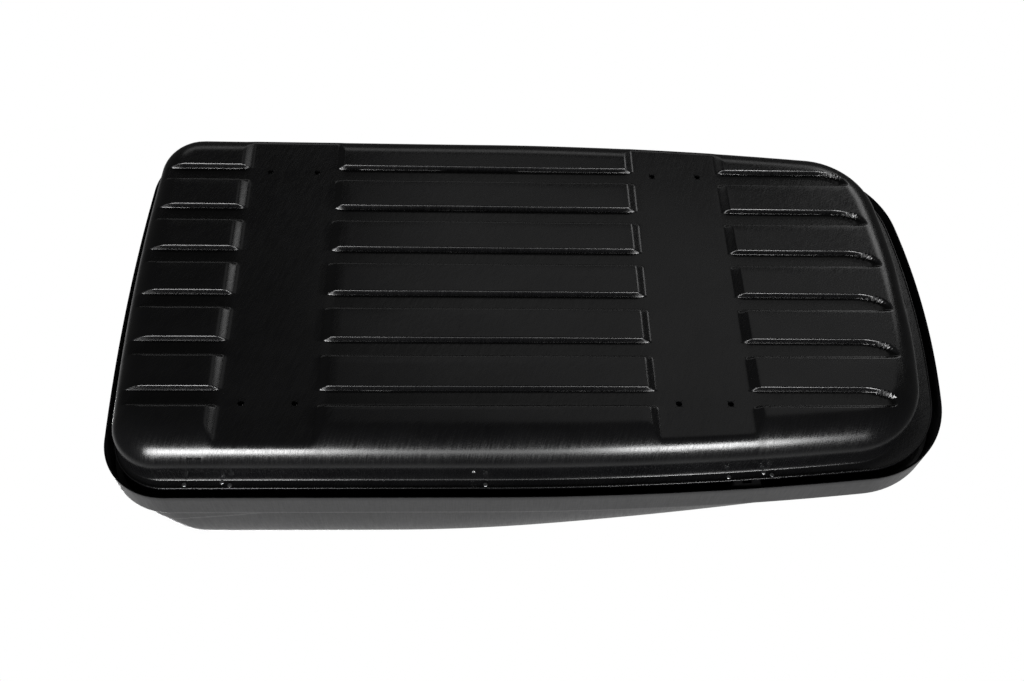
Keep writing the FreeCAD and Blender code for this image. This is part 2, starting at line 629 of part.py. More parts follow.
def stay_bar(radius, start, end):
    """Round bar on the stay's line between two distances from its foot pin."""
    return rod(radius, (STAY_X, *stay_point(start)), (STAY_X, *stay_point(end)))


def cross_pin(radius, half_length, place):
    """Round pin along X, centred on the stay's plane."""
    return rod(radius, (STAY_X - half_length, *place), (STAY_X + half_length, *place))


def make_stay():
    """Telescopic lid stay: brackets, pins, tube, gland and rod."""
    wall_y = half_width_at(STAY_X + 20, TRAY_INSET + TRAY_WALL)
    plate = box((STAY_X - 20, wall_y - LEAF_SHEET, STAY_FOOT[1] - 9.5), (STAY_X + 20, wall_y, LEAF_TOP_Z))
    tab = box((STAY_X - 20, wall_y - LEAF_SHEET, FLANGE_TOP_Z), (STAY_X + 20, wall_y + 17, LEAF_TOP_Z))
    pieces = [plate, tab]
    for side in (-1, 1):
        inner = STAY_X + side * STAY_EAR_GAP
        outer = STAY_X + side * (STAY_EAR_GAP + LEAF_SHEET)
        low_x = min(inner, outer)
        high_x = max(inner, outer)
        low = (low_x, STAY_FOOT[0] - 7, STAY_FOOT[1] - 7)
        pieces.append(box(low, (high_x, wall_y - 1, STAY_FOOT[1] + 12)))
    bracket = union(pieces).cut(cross_pin(STAY_PIN_RADIUS, 20, STAY_FOOT))
    for start, direction in stay_tray_rivet_places():
        bracket = bracket.cut(rivet_hole(start, direction, TRAY_WALL + LEAF_SHEET))
    keep("stay_tray_bracket", bracket)
    keep("stay_tray_pin", cross_pin(STAY_PIN_RADIUS, 11, STAY_FOOT))
    keep("stay_tray_rivets", Part.makeCompound([rivet(start, direction, TRAY_WALL + LEAF_SHEET)
                                                for start, direction in stay_tray_rivet_places()]))

    eye = cross_pin(8.0, 5, STAY_FOOT)
    neck = stay_bar(6.0, 0, STAY_TUBE_START + 2)
    tube = union([eye, neck, stay_bar(STAY_TUBE_RADIUS, STAY_TUBE_START, STAY_TUBE_END)])
    tube = tube.cut(stay_bar(STAY_BORE_RADIUS, STAY_TUBE_START + 6, STAY_TUBE_END + 1))
    tube = tube.cut(cross_pin(STAY_PIN_RADIUS + RUNNING_GAP, 10, STAY_FOOT))
    keep("stay_tube", tube)
    gland = stay_bar(STAY_BORE_RADIUS, STAY_TUBE_END - 12, STAY_TUBE_END + 2)
    keep("stay_gland", gland.cut(stay_bar(STAY_ROD_RADIUS + RUNNING_GAP, 0, STAY_TUBE_END + 10)))
    rod_end = cross_pin(STAY_EYE_RADIUS, 5, STAY_HEAD)
    rod_body = union([stay_bar(STAY_ROD_RADIUS, STAY_ROD_START, STAY_SPAN - STAY_EYE_HOLE - 2), rod_end,
                      stay_bar(STAY_BORE_RADIUS - RUNNING_GAP, STAY_ROD_START, STAY_ROD_START + 12)])
    keep("stay_rod", rod_body.cut(cross_pin(STAY_EYE_HOLE, 20, STAY_HEAD)))

    head_y, head_z = STAY_HEAD
    seat = liner_outer.cut(liner_inner)
    seat = seat.common(box((STAY_X - 28, head_y - 22, head_z), (STAY_X + 28, head_y + 22, HEIGHT)))
    ears = []
    for side in (-1, 1):
        inner = STAY_X + side * STAY_EAR_GAP
        outer = STAY_X + side * (STAY_EAR_GAP + LEAF_SHEET)
        low = (min(inner, outer), head_y - 9, head_z - 8)
        ears.append(box(low, (max(inner, outer), head_y + 9, HEIGHT)))
    ears = [ear.common(liner_outer) for ear in ears]
    bracket = union([seat] + ears).cut(cross_pin(STAY_PIN_RADIUS, 20, STAY_HEAD))
    rivets = []
    for x, y, z in stay_lid_rivet_places():
        bracket = bracket.cut(rod(RIVET_RADIUS, (x, y, z - 30), (x, y, z + 5)))
        rivets.append(rivet((x, y, z - ROOF_SPOT), (0, 0, -1), LID_WALL + LEAF_SHEET + 1.5))
    keep("stay_lid_bracket", bracket)
    keep("stay_lid_pin", cross_pin(STAY_PIN_RADIUS, 11, STAY_HEAD))
    keep("stay_lid_rivets", Part.makeCompound(rivets))


def guide_rivet_places():
    """Outer ends (x, y) of the rivets that hold the bar guides, two to a guide."""
    places = []
    for x in GUIDE_X.values():
        for dx in (-13.0, 13.0):
            places.append((x + dx, -dome_wall_y(x + dx, LOCK_Z, BAND_STEP)))
    return places


def make_lock():
    """Lock on the lid wall: housing, key cylinder, nut and cam."""
    wall_y = -dome_wall_y(LOCK_X, LOCK_Z - 20, BAND_STEP)
    inner_y = -dome_wall_y(LOCK_X, LOCK_Z, BAND_STEP + LID_WALL)
    cover = box((LOCK_X - 42, wall_y - 9, LOCK_Z - 20), (LOCK_X + 42, wall_y - 0.1, LOCK_Z + 20))
    upright = [edge for edge in cover.Edges if abs(edge.BoundBox.YLength - 8.9) < 0.01]
    cover = cover.makeFillet(12, upright)
    rim = [edge for edge in cover.Edges if edge.BoundBox.YMax < wall_y - 8.9]
    cover = cover.makeFillet(3, rim)
    sleeve = rod(LOCK_PLUG_RADIUS + 2.5, (LOCK_X, wall_y - 5, LOCK_Z), (LOCK_X, inner_y + 14, LOCK_Z))
    bore_start = (LOCK_X, wall_y - 20, LOCK_Z)
    bore = rod(LOCK_PLUG_RADIUS + RUNNING_GAP, bore_start, (LOCK_X, inner_y + 30, LOCK_Z))
    keep("lock_housing", union([cover, sleeve]).cut(bore))
    plug = rod(LOCK_PLUG_RADIUS, (LOCK_X, wall_y - 10, LOCK_Z), (LOCK_X, inner_y + 15, LOCK_Z))
    keyway = box((LOCK_X - 0.9, wall_y - 11, LOCK_Z - 4.5), (LOCK_X + 0.9, wall_y + 8, LOCK_Z + 4.5))
    keep("lock_cylinder", plug.cut(keyway))
    nut = rod(19.0, (LOCK_X, inner_y + 1.0, LOCK_Z), (LOCK_X, inner_y + 5, LOCK_Z))
    nut_bore = rod(LOCK_PLUG_RADIUS + 2.5, (LOCK_X, inner_y, LOCK_Z), (LOCK_X, inner_y + 9, LOCK_Z))
    keep("lock_nut", nut.cut(nut_bore))
    cam_y = inner_y + 15
    pin_x = LOCK_X - CAM_HALF_THROW
    pin_z = LOCK_Z - CAM_HALF_THROW
    arm = box((-CAM_PIN_RADIUS - 2, 0, -CAM_RADIUS), (CAM_PIN_RADIUS + 2, 3, 0))
    arm.rotate(Vector(0, 0, 0), Vector(0, 1, 0), 45)
    arm.translate(Vector(LOCK_X, cam_y, LOCK_Z))
    cam = union([rod(LOCK_PLUG_RADIUS - 1, (LOCK_X, cam_y, LOCK_Z), (LOCK_X, cam_y + 3, LOCK_Z)),
                 arm,
                 rod(CAM_PIN_RADIUS + 2, (pin_x, cam_y, pin_z), (pin_x, cam_y + 3, pin_z)),
                 rod(CAM_PIN_RADIUS, (pin_x, cam_y, pin_z), (pin_x, BAR_Y + BAR_SHEET + 3, pin_z))])
    keep("lock_cam", cam)


def make_locking_bar():
    """Flat bar behind the lock side wall, slotted for the cam pin."""
    bar = box((BAR_REAR_X, BAR_Y, BAR_BOTTOM_Z), (BAR_FRONT_X, BAR_Y + BAR_SHEET, BAR_TOP_Z))
    slot_x = LOCK_X - CAM_HALF_THROW
    half = CAM_PIN_RADIUS + BAR_SLOT_GAP
    slot_low = LOCK_Z - CAM_RADIUS
    slot_high = LOCK_Z - CAM_HALF_THROW
    start_y = BAR_Y - 1
    end_y = BAR_Y + BAR_SHEET + 1
    slot = union([box((slot_x - half, start_y, slot_low), (slot_x + half, end_y, slot_high)),
                  rod(half, (slot_x, start_y, slot_low), (slot_x, end_y, slot_low)),
                  rod(half, (slot_x, start_y, slot_high), (slot_x, end_y, slot_high))])
    bar = bar.cut(slot)
    for x, z in hook_rivet_places():
        bar = bar.cut(rod(RIVET_RADIUS, (x, BAR_Y - 5, z), (x, BAR_Y + 15, z)))
    keep("locking_bar", bar)


def hook_rivet_places():
    """Rivets (x, z) that hold the hooks on the locking bar."""
    places = []
    for x in HOOK_X.values():
        for dz in (6.0, 18.0):
            places.append((x, BAR_BOTTOM_Z + dz))
    return places


def make_hook(name):
    """J-shaped hook hanging from the locking bar, open towards the nose."""
    x = HOOK_X[name]
    face_y = BAR_Y + BAR_SHEET
    foot_top = KEEPER_PIN_Z - KEEPER_PIN_RADIUS - 0.5
    foot_low = foot_top - HOOK_FOOT
    stem_x = x + HOOK_STEM / 2
    stem = box((x - HOOK_STEM / 2, face_y, foot_low), (stem_x, face_y + BAR_SHEET, BAR_TOP_Z))
    foot = box((x - HOOK_STEM / 2, face_y, foot_low), (stem_x + HOOK_REACH, face_y + BAR_SHEET, foot_top))
    hook = union([stem, foot])
    for rivet_x, z in hook_rivet_places():
        hook = hook.cut(rod(RIVET_RADIUS, (rivet_x, BAR_Y - 5, z), (rivet_x, BAR_Y + 15, z)))
    keep(name + "_hook", hook)


def make_keeper(name):
    """Keeper on the flange: base, upright and the pin the hook slides under."""
    x = keeper_x(name)
    wall_y = half_width_at(x, TRAY_INSET)
    upright_y = BAR_Y + 2 * BAR_SHEET + 2
    base = box((x - 17, -wall_y - 14.5, FLANGE_TOP_Z), (x + 17, upright_y + LEAF_SHEET, LEAF_TOP_Z))
    base = base.common(plan_prism(TRAY_INSET - FLANGE_WIDTH + 1, 0, HEIGHT))
    upright = box((x - 12, upright_y, FLANGE_TOP_Z), (x + 12, upright_y + LEAF_SHEET, KEEPER_PIN_Z + 9))
    pin = rod(KEEPER_PIN_RADIUS, (x, upright_y, KEEPER_PIN_Z), (x, BAR_Y - 1, KEEPER_PIN_Z))
    keeper = union([base, upright, pin])
    for rivet_x, rivet_y in keeper_rivet_places(name):
        keeper = keeper.cut(rivet_hole((rivet_x, rivet_y, FLANGE_Z), (0, 0, 1), TRAY_WALL + LEAF_SHEET))
    keep(name + "_keeper", keeper)


def make_bar_guide(name):
    """Plastic block on the lid's inner wall that carries the locking bar."""
    x = GUIDE_X[name]
    gap = 0.4
    block = box((x - GUIDE_HALF_LENGTH, -WIDTH, BAR_BOTTOM_Z - 5),
                (x + GUIDE_HALF_LENGTH, BAR_Y + BAR_SHEET + 5, LOCK_Z + 9))
    block = block.common(liner_outer)
    slot = box((x - 25, BAR_Y - gap, BAR_BOTTOM_Z - gap),
               (x + 25, BAR_Y + BAR_SHEET + gap, BAR_TOP_Z + gap))
    block = block.cut(slot)
    pocket = box((x - 25, BAR_Y - 12, BAR_BOTTOM_Z - 10), (x + 25, BAR_Y + 30, BAR_BOTTOM_Z - gap))
    block = block.cut(pocket)
    for rivet_x, rivet_y in guide_rivet_places():
        end = (rivet_x, rivet_y + 10, LOCK_Z)
        block = block.cut(rod(RIVET_RADIUS, (rivet_x, rivet_y - 5, LOCK_Z), end))
        tail_y = rivet_y + GUIDE_SPOT + GUIDE_GRIP
        block = block.cut(rod(RIVET_HEAD_RADIUS, (rivet_x, tail_y, LOCK_Z), (rivet_x, 0, LOCK_Z)))
    keep(name + "_bar_guide", block)


def make_lock_rivets():
    """Rivets of the guides, the hooks and the keepers."""
    guide = [rivet((x, y + GUIDE_SPOT, LOCK_Z), (0, 1, 0), GUIDE_GRIP) for x, y in guide_rivet_places()]
    hook = [rivet((x, BAR_Y, z), (0, 1, 0), 2 * BAR_SHEET) for x, z in hook_rivet_places()]
    keeper = []
    for name in HOOK_X:
        for x, y in keeper_rivet_places(name):
            keeper.append(rivet((x, y, FLANGE_Z), (0, 0, 1), TRAY_WALL + LEAF_SHEET))
    keep("guide_rivets", Part.makeCompound(guide))
    keep("hook_rivets", Part.makeCompound(hook))
    keep("keeper_rivets", Part.makeCompound(keeper))


make_base_tray()
make_lid_shell()
for end in PAD_CENTRES:
    make_floor_rail(end)
for end in HINGE_X:
    make_hinge(end)
make_hinge_fasteners()
make_stay()
make_lock()
make_locking_bar()
for end in HOOK_X:
    make_hook(end)
    make_keeper(end)
for place in GUIDE_X:
    make_bar_guide(place)
make_lock_rivets()

os.makedirs("parts", exist_ok=True)
for node, shape in parts.items():
    shape.exportStep("parts/" + node + ".step")
    print(node, len(shape.Solids), "solids", round(shape.Volume / 1000, 1), "cm3", shape.isValid())
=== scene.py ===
"""Roof cargo box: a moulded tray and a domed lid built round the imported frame, every fitting dressed."""

import json
import logging
import math
from dataclasses import dataclass, field, replace
from enum import Enum

import bmesh
import bpy
import numpy as np
from mathutils import Matrix, Vector, noise

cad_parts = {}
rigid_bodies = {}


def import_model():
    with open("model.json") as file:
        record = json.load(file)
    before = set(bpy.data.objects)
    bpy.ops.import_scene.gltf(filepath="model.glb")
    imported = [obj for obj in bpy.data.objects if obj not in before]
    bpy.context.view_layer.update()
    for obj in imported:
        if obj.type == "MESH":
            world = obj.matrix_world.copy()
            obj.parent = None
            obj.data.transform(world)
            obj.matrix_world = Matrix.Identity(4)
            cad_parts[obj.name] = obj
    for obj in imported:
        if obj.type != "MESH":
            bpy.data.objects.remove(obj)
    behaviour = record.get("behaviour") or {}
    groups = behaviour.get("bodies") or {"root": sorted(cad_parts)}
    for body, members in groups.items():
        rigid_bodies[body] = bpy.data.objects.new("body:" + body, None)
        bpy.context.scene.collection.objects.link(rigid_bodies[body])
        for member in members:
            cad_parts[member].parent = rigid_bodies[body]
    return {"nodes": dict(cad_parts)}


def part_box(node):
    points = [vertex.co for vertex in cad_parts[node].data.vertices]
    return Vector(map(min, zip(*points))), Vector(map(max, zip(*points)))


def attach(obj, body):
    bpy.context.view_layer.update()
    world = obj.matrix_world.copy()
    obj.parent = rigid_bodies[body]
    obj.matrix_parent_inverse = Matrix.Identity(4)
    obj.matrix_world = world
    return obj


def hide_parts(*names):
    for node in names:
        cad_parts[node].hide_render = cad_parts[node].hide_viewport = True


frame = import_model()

MM = 0.001
log = logging.getLogger("cargo_box")


# ---- mesh helpers


def select_only(piece: bpy.types.Object) -> None:
    """Make one piece the only selected and active object.

    Args:
        piece: the object that the next operators work on.
    """
    if bpy.context.mode != "OBJECT":
        bpy.ops.object.mode_set(mode="OBJECT")
    bpy.ops.object.select_all(action="DESELECT")
    piece.select_set(True)
    bpy.context.view_layer.objects.active = piece


def new_piece(name: str) -> bpy.types.Object:
    """Name the primitive that was just added and leave it as the active object.

    Args:
        name: the piece's name.

    Returns:
        The new object.
    """
    piece = bpy.context.active_object
    piece.name = name
    piece.data.name = name
    select_only(piece)
    return piece


def apply_all(piece: bpy.types.Object) -> None:
    """Apply every modifier of a piece in order."""
    select_only(piece)
    for modifier in list(piece.modifiers):
        bpy.ops.object.modifier_apply(modifier=modifier.name)


def face_outwards(piece: bpy.types.Object, outward: Vector) -> None:
    """Recalculate an open shell's normals so that its largest side looks one way.

    Args:
        piece: the shell, before its wall gets a thickness.
        outward: the way most of its area should face.
    """
    select_only(piece)
    bpy.ops.object.mode_set(mode="EDIT")
    bpy.ops.mesh.select_all(action="SELECT")
    bpy.ops.mesh.normals_make_consistent(inside=False)
    bpy.ops.object.mode_set(mode="OBJECT")
    total = sum((face.normal * face.area for face in piece.data.polygons), Vector())
    if total.dot(outward) < 0:
        bpy.ops.object.mode_set(mode="EDIT")
        bpy.ops.mesh.select_all(action="SELECT")
        bpy.ops.mesh.flip_normals()
        bpy.ops.object.mode_set(mode="OBJECT")


def thicken(piece: bpy.types.Object, wall: float) -> None:
    """Give a shell its wall on the inner side and apply it.

    Args:
        piece: the shell, its normals outwards.
        wall: wall thickness.
    """
    solidify = piece.modifiers.new("wall", "SOLIDIFY")
    solidify.thickness = wall
    solidify.offset = -1.0
    solidify.use_even_offset = True
    solidify.thickness_clamp = 0.0
    apply_all(piece)


def smooth(piece: bpy.types.Object, degrees: float) -> None:
    """Shade a piece smooth, apart from edges sharper than an angle."""
    select_only(piece)
    bpy.ops.object.shade_smooth_by_angle(angle=math.radians(degrees))


def smooth_step(value: np.ndarray | float) -> np.ndarray | float:
    """Ease from 0 to 1, flat at both ends."""
    held = np.clip(value, 0.0, 1.0)
    return held * held * (3.0 - 2.0 * held)


def pressed_step(value: np.ndarray, softness: float = 0.22, end_softness: float = 0.22) -> np.ndarray:
    """Straight ramp from 0 to 1 with rounded corners, as a sheet takes over a mould's edge.

    Args:
        value: share of the way along the ramp.
        softness: how much of the ramp its first rounded corner takes.
        end_softness: how much its last one takes.

    Returns:
        The height of the ramp, from 0 to 1.
    """

    def corner(t: np.ndarray, soft: float) -> np.ndarray:
        """Return a ramp that starts at 0 with a rounded corner."""
        bend = (t + soft) ** 2 / (4.0 * soft)
        return np.where(t < -soft, 0.0, np.where(t > soft, t, bend))

    return corner(value, softness) - corner(value - 1.0, end_softness)


def gentle_noise(x: np.ndarray, y: np.ndarray, wave_x: float, wave_y: float, seed: float) -> np.ndarray:
    """Smooth wandering values from about -1 to 1 over a sheet.

    Args:
        x: positions along the box.
        y: positions across the box.
        wave_x: length of a wave along the box.
        wave_y: length of a wave across the box.
        seed: picks one pattern.

    Returns:
        One value for each position.
    """
    return np.array([noise.noise(Vector((a / wave_x, b / wave_y, seed))) for a, b in zip(x, y)])


# ---- rim outline


@dataclass(frozen=True)
class RimOutline:
    """The rim seen from above: tangent arcs at the ends and corners, straight sides, a tapering nose."""

    half_length: float
    half_width: float
    rear_bow: float = 4500 * MM
    rear_corner: float = 118 * MM
    taper_start: float = -89 * MM
    side_taper: float = 6800 * MM
    nose_corner: float = 180 * MM
    nose_bow: float = 1500 * MM
    nose_gap: float = 0.0
    rear_gap: float = 0.0

    def arcs(self) -> list[tuple[Vector, float, float, float]]:
        """List the arcs of the +Y half from the nose to the rear as (centre, radius, start, end).

        Returns:
            Arcs in order, angles in radians. The straight side lies between the third and the fourth.
        """
        nose = Vector((self.half_length - self.nose_gap - self.nose_bow, 0.0))
        side = Vector((self.taper_start, self.half_width - self.side_taper))
        rear = Vector((self.rear_bow + self.rear_gap - self.half_length, 0.0))
        near, far = self.nose_bow - self.nose_corner, self.side_taper - self.nose_corner
        between = side - nose
        gap = between.length
        along = (near**2 - far**2 + gap**2) / (2 * gap)
        across = math.sqrt(near**2 - along**2)
        foot = nose + between * (along / gap)
        turned = Vector((-between.y, between.x)) * (across / gap)
        corner = max(foot + turned, foot - turned, key=lambda point: point.x)
        rear_y = self.half_width - self.rear_corner
        rear_reach = self.rear_bow - self.rear_corner
        rear_corner = Vector((rear.x - math.sqrt(rear_reach**2 - rear_y**2), rear_y))
        nose_turn = math.atan2(corner.y - nose.y, corner.x - nose.x)
        side_turn = math.atan2(corner.y - side.y, corner.x - side.x)
        rear_turn = math.atan2(rear_corner.y - rear.y, rear_corner.x - rear.x)
        return [
            (nose, self.nose_bow, 0.0, nose_turn),
            (corner, self.nose_corner, nose_turn, side_turn),
            (side, self.side_taper, side_turn, math.pi / 2),
            (rear_corner, self.rear_corner, math.pi / 2, rear_turn),
            (rear, self.rear_bow, rear_turn, math.pi),
        ]

    def sample(self, spacing: float, turn: float = math.radians(3.2)) -> tuple[np.ndarray, np.ndarray]:
        """Place points round the whole rim, anticlockwise from the nose.

        Args:
            spacing: the longest step along the rim.
            turn: the largest change of direction in a step.

        Returns:
            The points and their outward directions, two arrays of rows (x, y).
        """
        points, outwards = [], []
        arcs = self.arcs()
        for index, (centre, radius, start, end) in enumerate(arcs):
            steps = max(2, math.ceil(max((end - start) * radius / spacing, (end - start) / turn)))
            for step in range(steps):
                angle = start + (end - start) * step / steps
                outwards.append((math.cos(angle), math.sin(angle)))
                points.append((centre.x + radius * outwards[-1][0], centre.y + radius * outwards[-1][1]))
            if index == 2:
                stop = arcs[3][0].x
                steps = math.ceil((self.taper_start - stop) / spacing)
                for step in range(steps):
                    x = self.taper_start + (stop - self.taper_start) * step / steps
                    points.append((x, self.half_width))
                    outwards.append((0.0, 1.0))
        rear_point, rear_out = (self.rear_gap - self.half_length, 0.0), (-1.0, 0.0)
        mirrored = [(x, -y) for x, y in points[:0:-1]]
        mirrored_out = [(x, -y) for x, y in outwards[:0:-1]]
        return (
            np.array(points + [rear_point] + mirrored),
            np.array(outwards + [rear_out] + mirrored_out),
        )


@dataclass
class RimRuler:
    """Measures how far places lie inside the rim, and which way is outwards there."""

    outline: RimOutline
    points: np.ndarray = field(init=False)
    outwards: np.ndarray = field(init=False)

    def __post_init__(self) -> None:
        """Take fine samples of the rim to measure from."""
        self.points, self.outwards = self.outline.sample(2.0 * MM, math.radians(0.6))

    def measure(self, places: np.ndarray) -> tuple[np.ndarray, np.ndarray]:
        """Find the inset and the outward direction of places inside the rim.

        Args:
            places: rows (x, y).

        Returns:
            The insets, and rows (x, y) of outward directions.
        """
        insets = np.empty(len(places))
        ways = np.empty((len(places), 2))
        for start in range(0, len(places), 2000):
            block = places[start : start + 2000]
            gap = block[:, None, :] - self.points[None, :, :]
            nearest = (gap**2).sum(2).argmin(1)
            way = self.outwards[nearest]
            insets[start : start + 2000] = ((self.points[nearest] - block) * way).sum(1)
            ways[start : start + 2000] = way
        return insets, ways

    def extrude_row(self, piece: bpy.types.Object, inset: float, z: float) -> None:
        """Extrude the edge selected on a sheet in edit mode and lay it along the rim.

        Args:
            piece: the sheet.
            inset: how far inside the rim the new row lies.
            z: the new row's height.
        """
        bpy.ops.mesh.extrude_region_move(TRANSFORM_OT_translate={"value": (0, 0, 0)})
        mesh = bmesh.from_edit_mesh(piece.data)
        row = [vertex for vertex in mesh.verts if vertex.select]
        insets, ways = self.measure(np.array([vertex.co[:2] for vertex in row]))
        for vertex, here, way in zip(row, insets, ways):
            move = (here - inset) * way
            vertex.co = (vertex.co.x + move[0], vertex.co.y + move[1], z)
        bmesh.update_edit_mesh(piece.data)


# ---- finishes


def linear(hex_code: str) -> tuple[float, float, float, float]:
    """Turn an sRGB hex colour into the linear one that a shader takes.

    Args:
        hex_code: six hex digits, with or without a leading #.

    Returns:
        Linear red, green, blue and an alpha of 1.
    """
    digits = hex_code.lstrip("#")
    parts = [int(digits[i : i + 2], 16) / 255 for i in (0, 2, 4)]
    red, green, blue = [p / 12.92 if p <= 0.04045 else ((p + 0.055) / 1.055) ** 2.4 for p in parts]
    return (red, green, blue, 1.0)


def add_node(
    tree: bpy.types.NodeTree, kind: str, links: dict | None = None, **settings: object
) -> bpy.types.Node:
    """Add a node, set it up and link its inputs.

    Args:
        tree: the node tree.
        kind: the node's type name.
        links: for each input name or number, an output socket to link or a value to set.
        **settings: the node's own properties.

    Returns:
        The new node.
    """
    node = tree.nodes.new(kind)
    for key, value in settings.items():
        setattr(node, key, value)
    for key, value in (links or {}).items():
        if isinstance(value, bpy.types.NodeSocket):
            tree.links.new(value, node.inputs[key])
        else:
            node.inputs[key].default_value = value
    return node


def new_material(name: str) -> tuple[bpy.types.Material, bpy.types.NodeTree, bpy.types.Node]:
    """Start a material with only its surface shader and output.

    Args:
        name: the material's name.

    Returns:
        The material, its node tree and its surface shader.
    """
    material = bpy.data.materials.new(name)
    material.use_nodes = True
    tree = material.node_tree
    tree.nodes.clear()
    shader = add_node(tree, "ShaderNodeBsdfPrincipled")
    add_node(tree, "ShaderNodeOutputMaterial", {"Surface": shader.outputs["BSDF"]})
    return material, tree, shader


@dataclass(frozen=True)
class Pattern:
    """Wandering marks laid on a piece in real sizes."""

    size: tuple[float, float, float]
    turn: float = 0.0
    detail: float = 2.0

    def lay(self, tree: bpy.types.NodeTree) -> bpy.types.NodeSocket:
        """Lay the marks on the piece's own coordinates.

        Args:
            tree: the material's node tree.

        Returns:
            The marks' value, about 0.5 on average.
        """
        place = add_node(tree, "ShaderNodeTexCoord").outputs["Object"]
        turned = add_node(tree, "ShaderNodeMapping", {"Vector": place, "Rotation": (0.0, 0.0, self.turn)})
        stretch = {"Vector": turned.outputs["Vector"], "Scale": tuple(1.0 / s for s in self.size)}
        scaled = add_node(tree, "ShaderNodeMapping", stretch)
        marks = {"Vector": scaled.outputs["Vector"], "Scale": 1.0, "Detail": self.detail}
        return add_node(tree, "ShaderNodeTexNoise", marks).outputs["Fac"]


@dataclass(frozen=True)
class MouldedPlastic:
    """Thermoformed or injection-moulded black plastic: a pebbled skin, faint bloom and hair scratches."""

    name: str
    deep: str
    bloom: str
    roughness: float
    roughness_swing: float
    pebble: float
    pebble_depth: float
    scratch_depth: float = 0.0
    scratch_turn: float = 0.6
    bloom_size: float = 70 * MM
    ior: float = 1.53

    def build(self) -> bpy.types.Material:
        """Make the material.

        Returns:
            The finished material.
        """
        material, tree, shader = new_material(self.name)
        patches = Pattern((self.bloom_size * 1.6, self.bloom_size, self.bloom_size), detail=4.0).lay(tree)
        share = add_node(tree, "ShaderNodeMapRange", {"Value": patches, "From Min": 0.35, "From Max": 0.68})
        tones = {0: share.outputs["Result"], 6: linear(self.deep), 7: linear(self.bloom)}
        colour = add_node(tree, "ShaderNodeMix", tones, data_type="RGBA")
        tree.links.new(colour.outputs[2], shader.inputs["Base Color"])
        # Hair scratches are some 0.1 mm wide; they are drawn 1.2 mm wide so that they show.
        hair = Pattern((26 * MM, 1.2 * MM, 1.2 * MM), self.scratch_turn).lay(tree)
        cross_hair = Pattern((2.0 * MM, 34 * MM, 34 * MM), -0.35).lay(tree)
        both = add_node(tree, "ShaderNodeMath", {0: hair, 1: cross_hair}, operation="ADD").outputs[0]
        low, high = self.roughness - self.roughness_swing, self.roughness + self.roughness_swing
        swing = {"Value": both, "From Min": 0.75, "From Max": 1.25, "To Min": low, "To Max": high}
        rough = add_node(tree, "ShaderNodeMapRange", swing)
        tree.links.new(rough.outputs["Result"], shader.inputs["Roughness"])
        skin = Pattern((self.pebble,) * 3).lay(tree)
        grain = {"Height": skin, "Distance": self.pebble_depth, "Strength": 1.0}
        surface = add_node(tree, "ShaderNodeBump", grain).outputs["Normal"]
        if self.scratch_depth:
            marks = {"Height": both, "Distance": self.scratch_depth, "Strength": 1.0, "Normal": surface}
            surface = add_node(tree, "ShaderNodeBump", marks).outputs["Normal"]
        tree.links.new(surface, shader.inputs["Normal"])
        shader.inputs["IOR"].default_value = self.ior
        return material


@dataclass(frozen=True)
class PlatedMetal:
    """Metal with a plated, drawn or satin surface: streaks along one axis over mottled tone."""

    name: str
    dark: str
    light: str
    roughness: float
    streak: tuple[float, float, float]
    streak_depth: float = 4e-6
    mottle: float = 14 * MM
    metallic: float = 1.0

    def build(self) -> bpy.types.Material:
        """Make the material.

        Returns:
            The finished material.
        """
        material, tree, shader = new_material(self.name)
        blotches = Pattern((self.mottle,) * 3, detail=5.0).lay(tree)
        share = add_node(tree, "ShaderNodeMapRange", {"Value": blotches, "From Min": 0.3, "From Max": 0.7})
        tones = {0: share.outputs["Result"], 6: linear(self.dark), 7: linear(self.light)}
        colour = add_node(tree, "ShaderNodeMix", tones, data_type="RGBA")
        tree.links.new(colour.outputs[2], shader.inputs["Base Color"])
        lines = Pattern(self.streak).lay(tree)
        low, high = self.roughness * 0.8, self.roughness * 1.25
        swing = {"Value": lines, "From Min": 0.3, "From Max": 0.7, "To Min": low, "To Max": high}
        rough = add_node(tree, "ShaderNodeMapRange", swing)
        tree.links.new(rough.outputs["Result"], shader.inputs["Roughness"])
        grooves = {"Height": lines, "Distance": self.streak_depth, "Strength": 1.0}
        surface = add_node(tree, "ShaderNodeBump", grooves)
        tree.links.new(surface.outputs["Normal"], shader.inputs["Normal"])
        shader.inputs["Metallic"].default_value = self.metallic
        return material


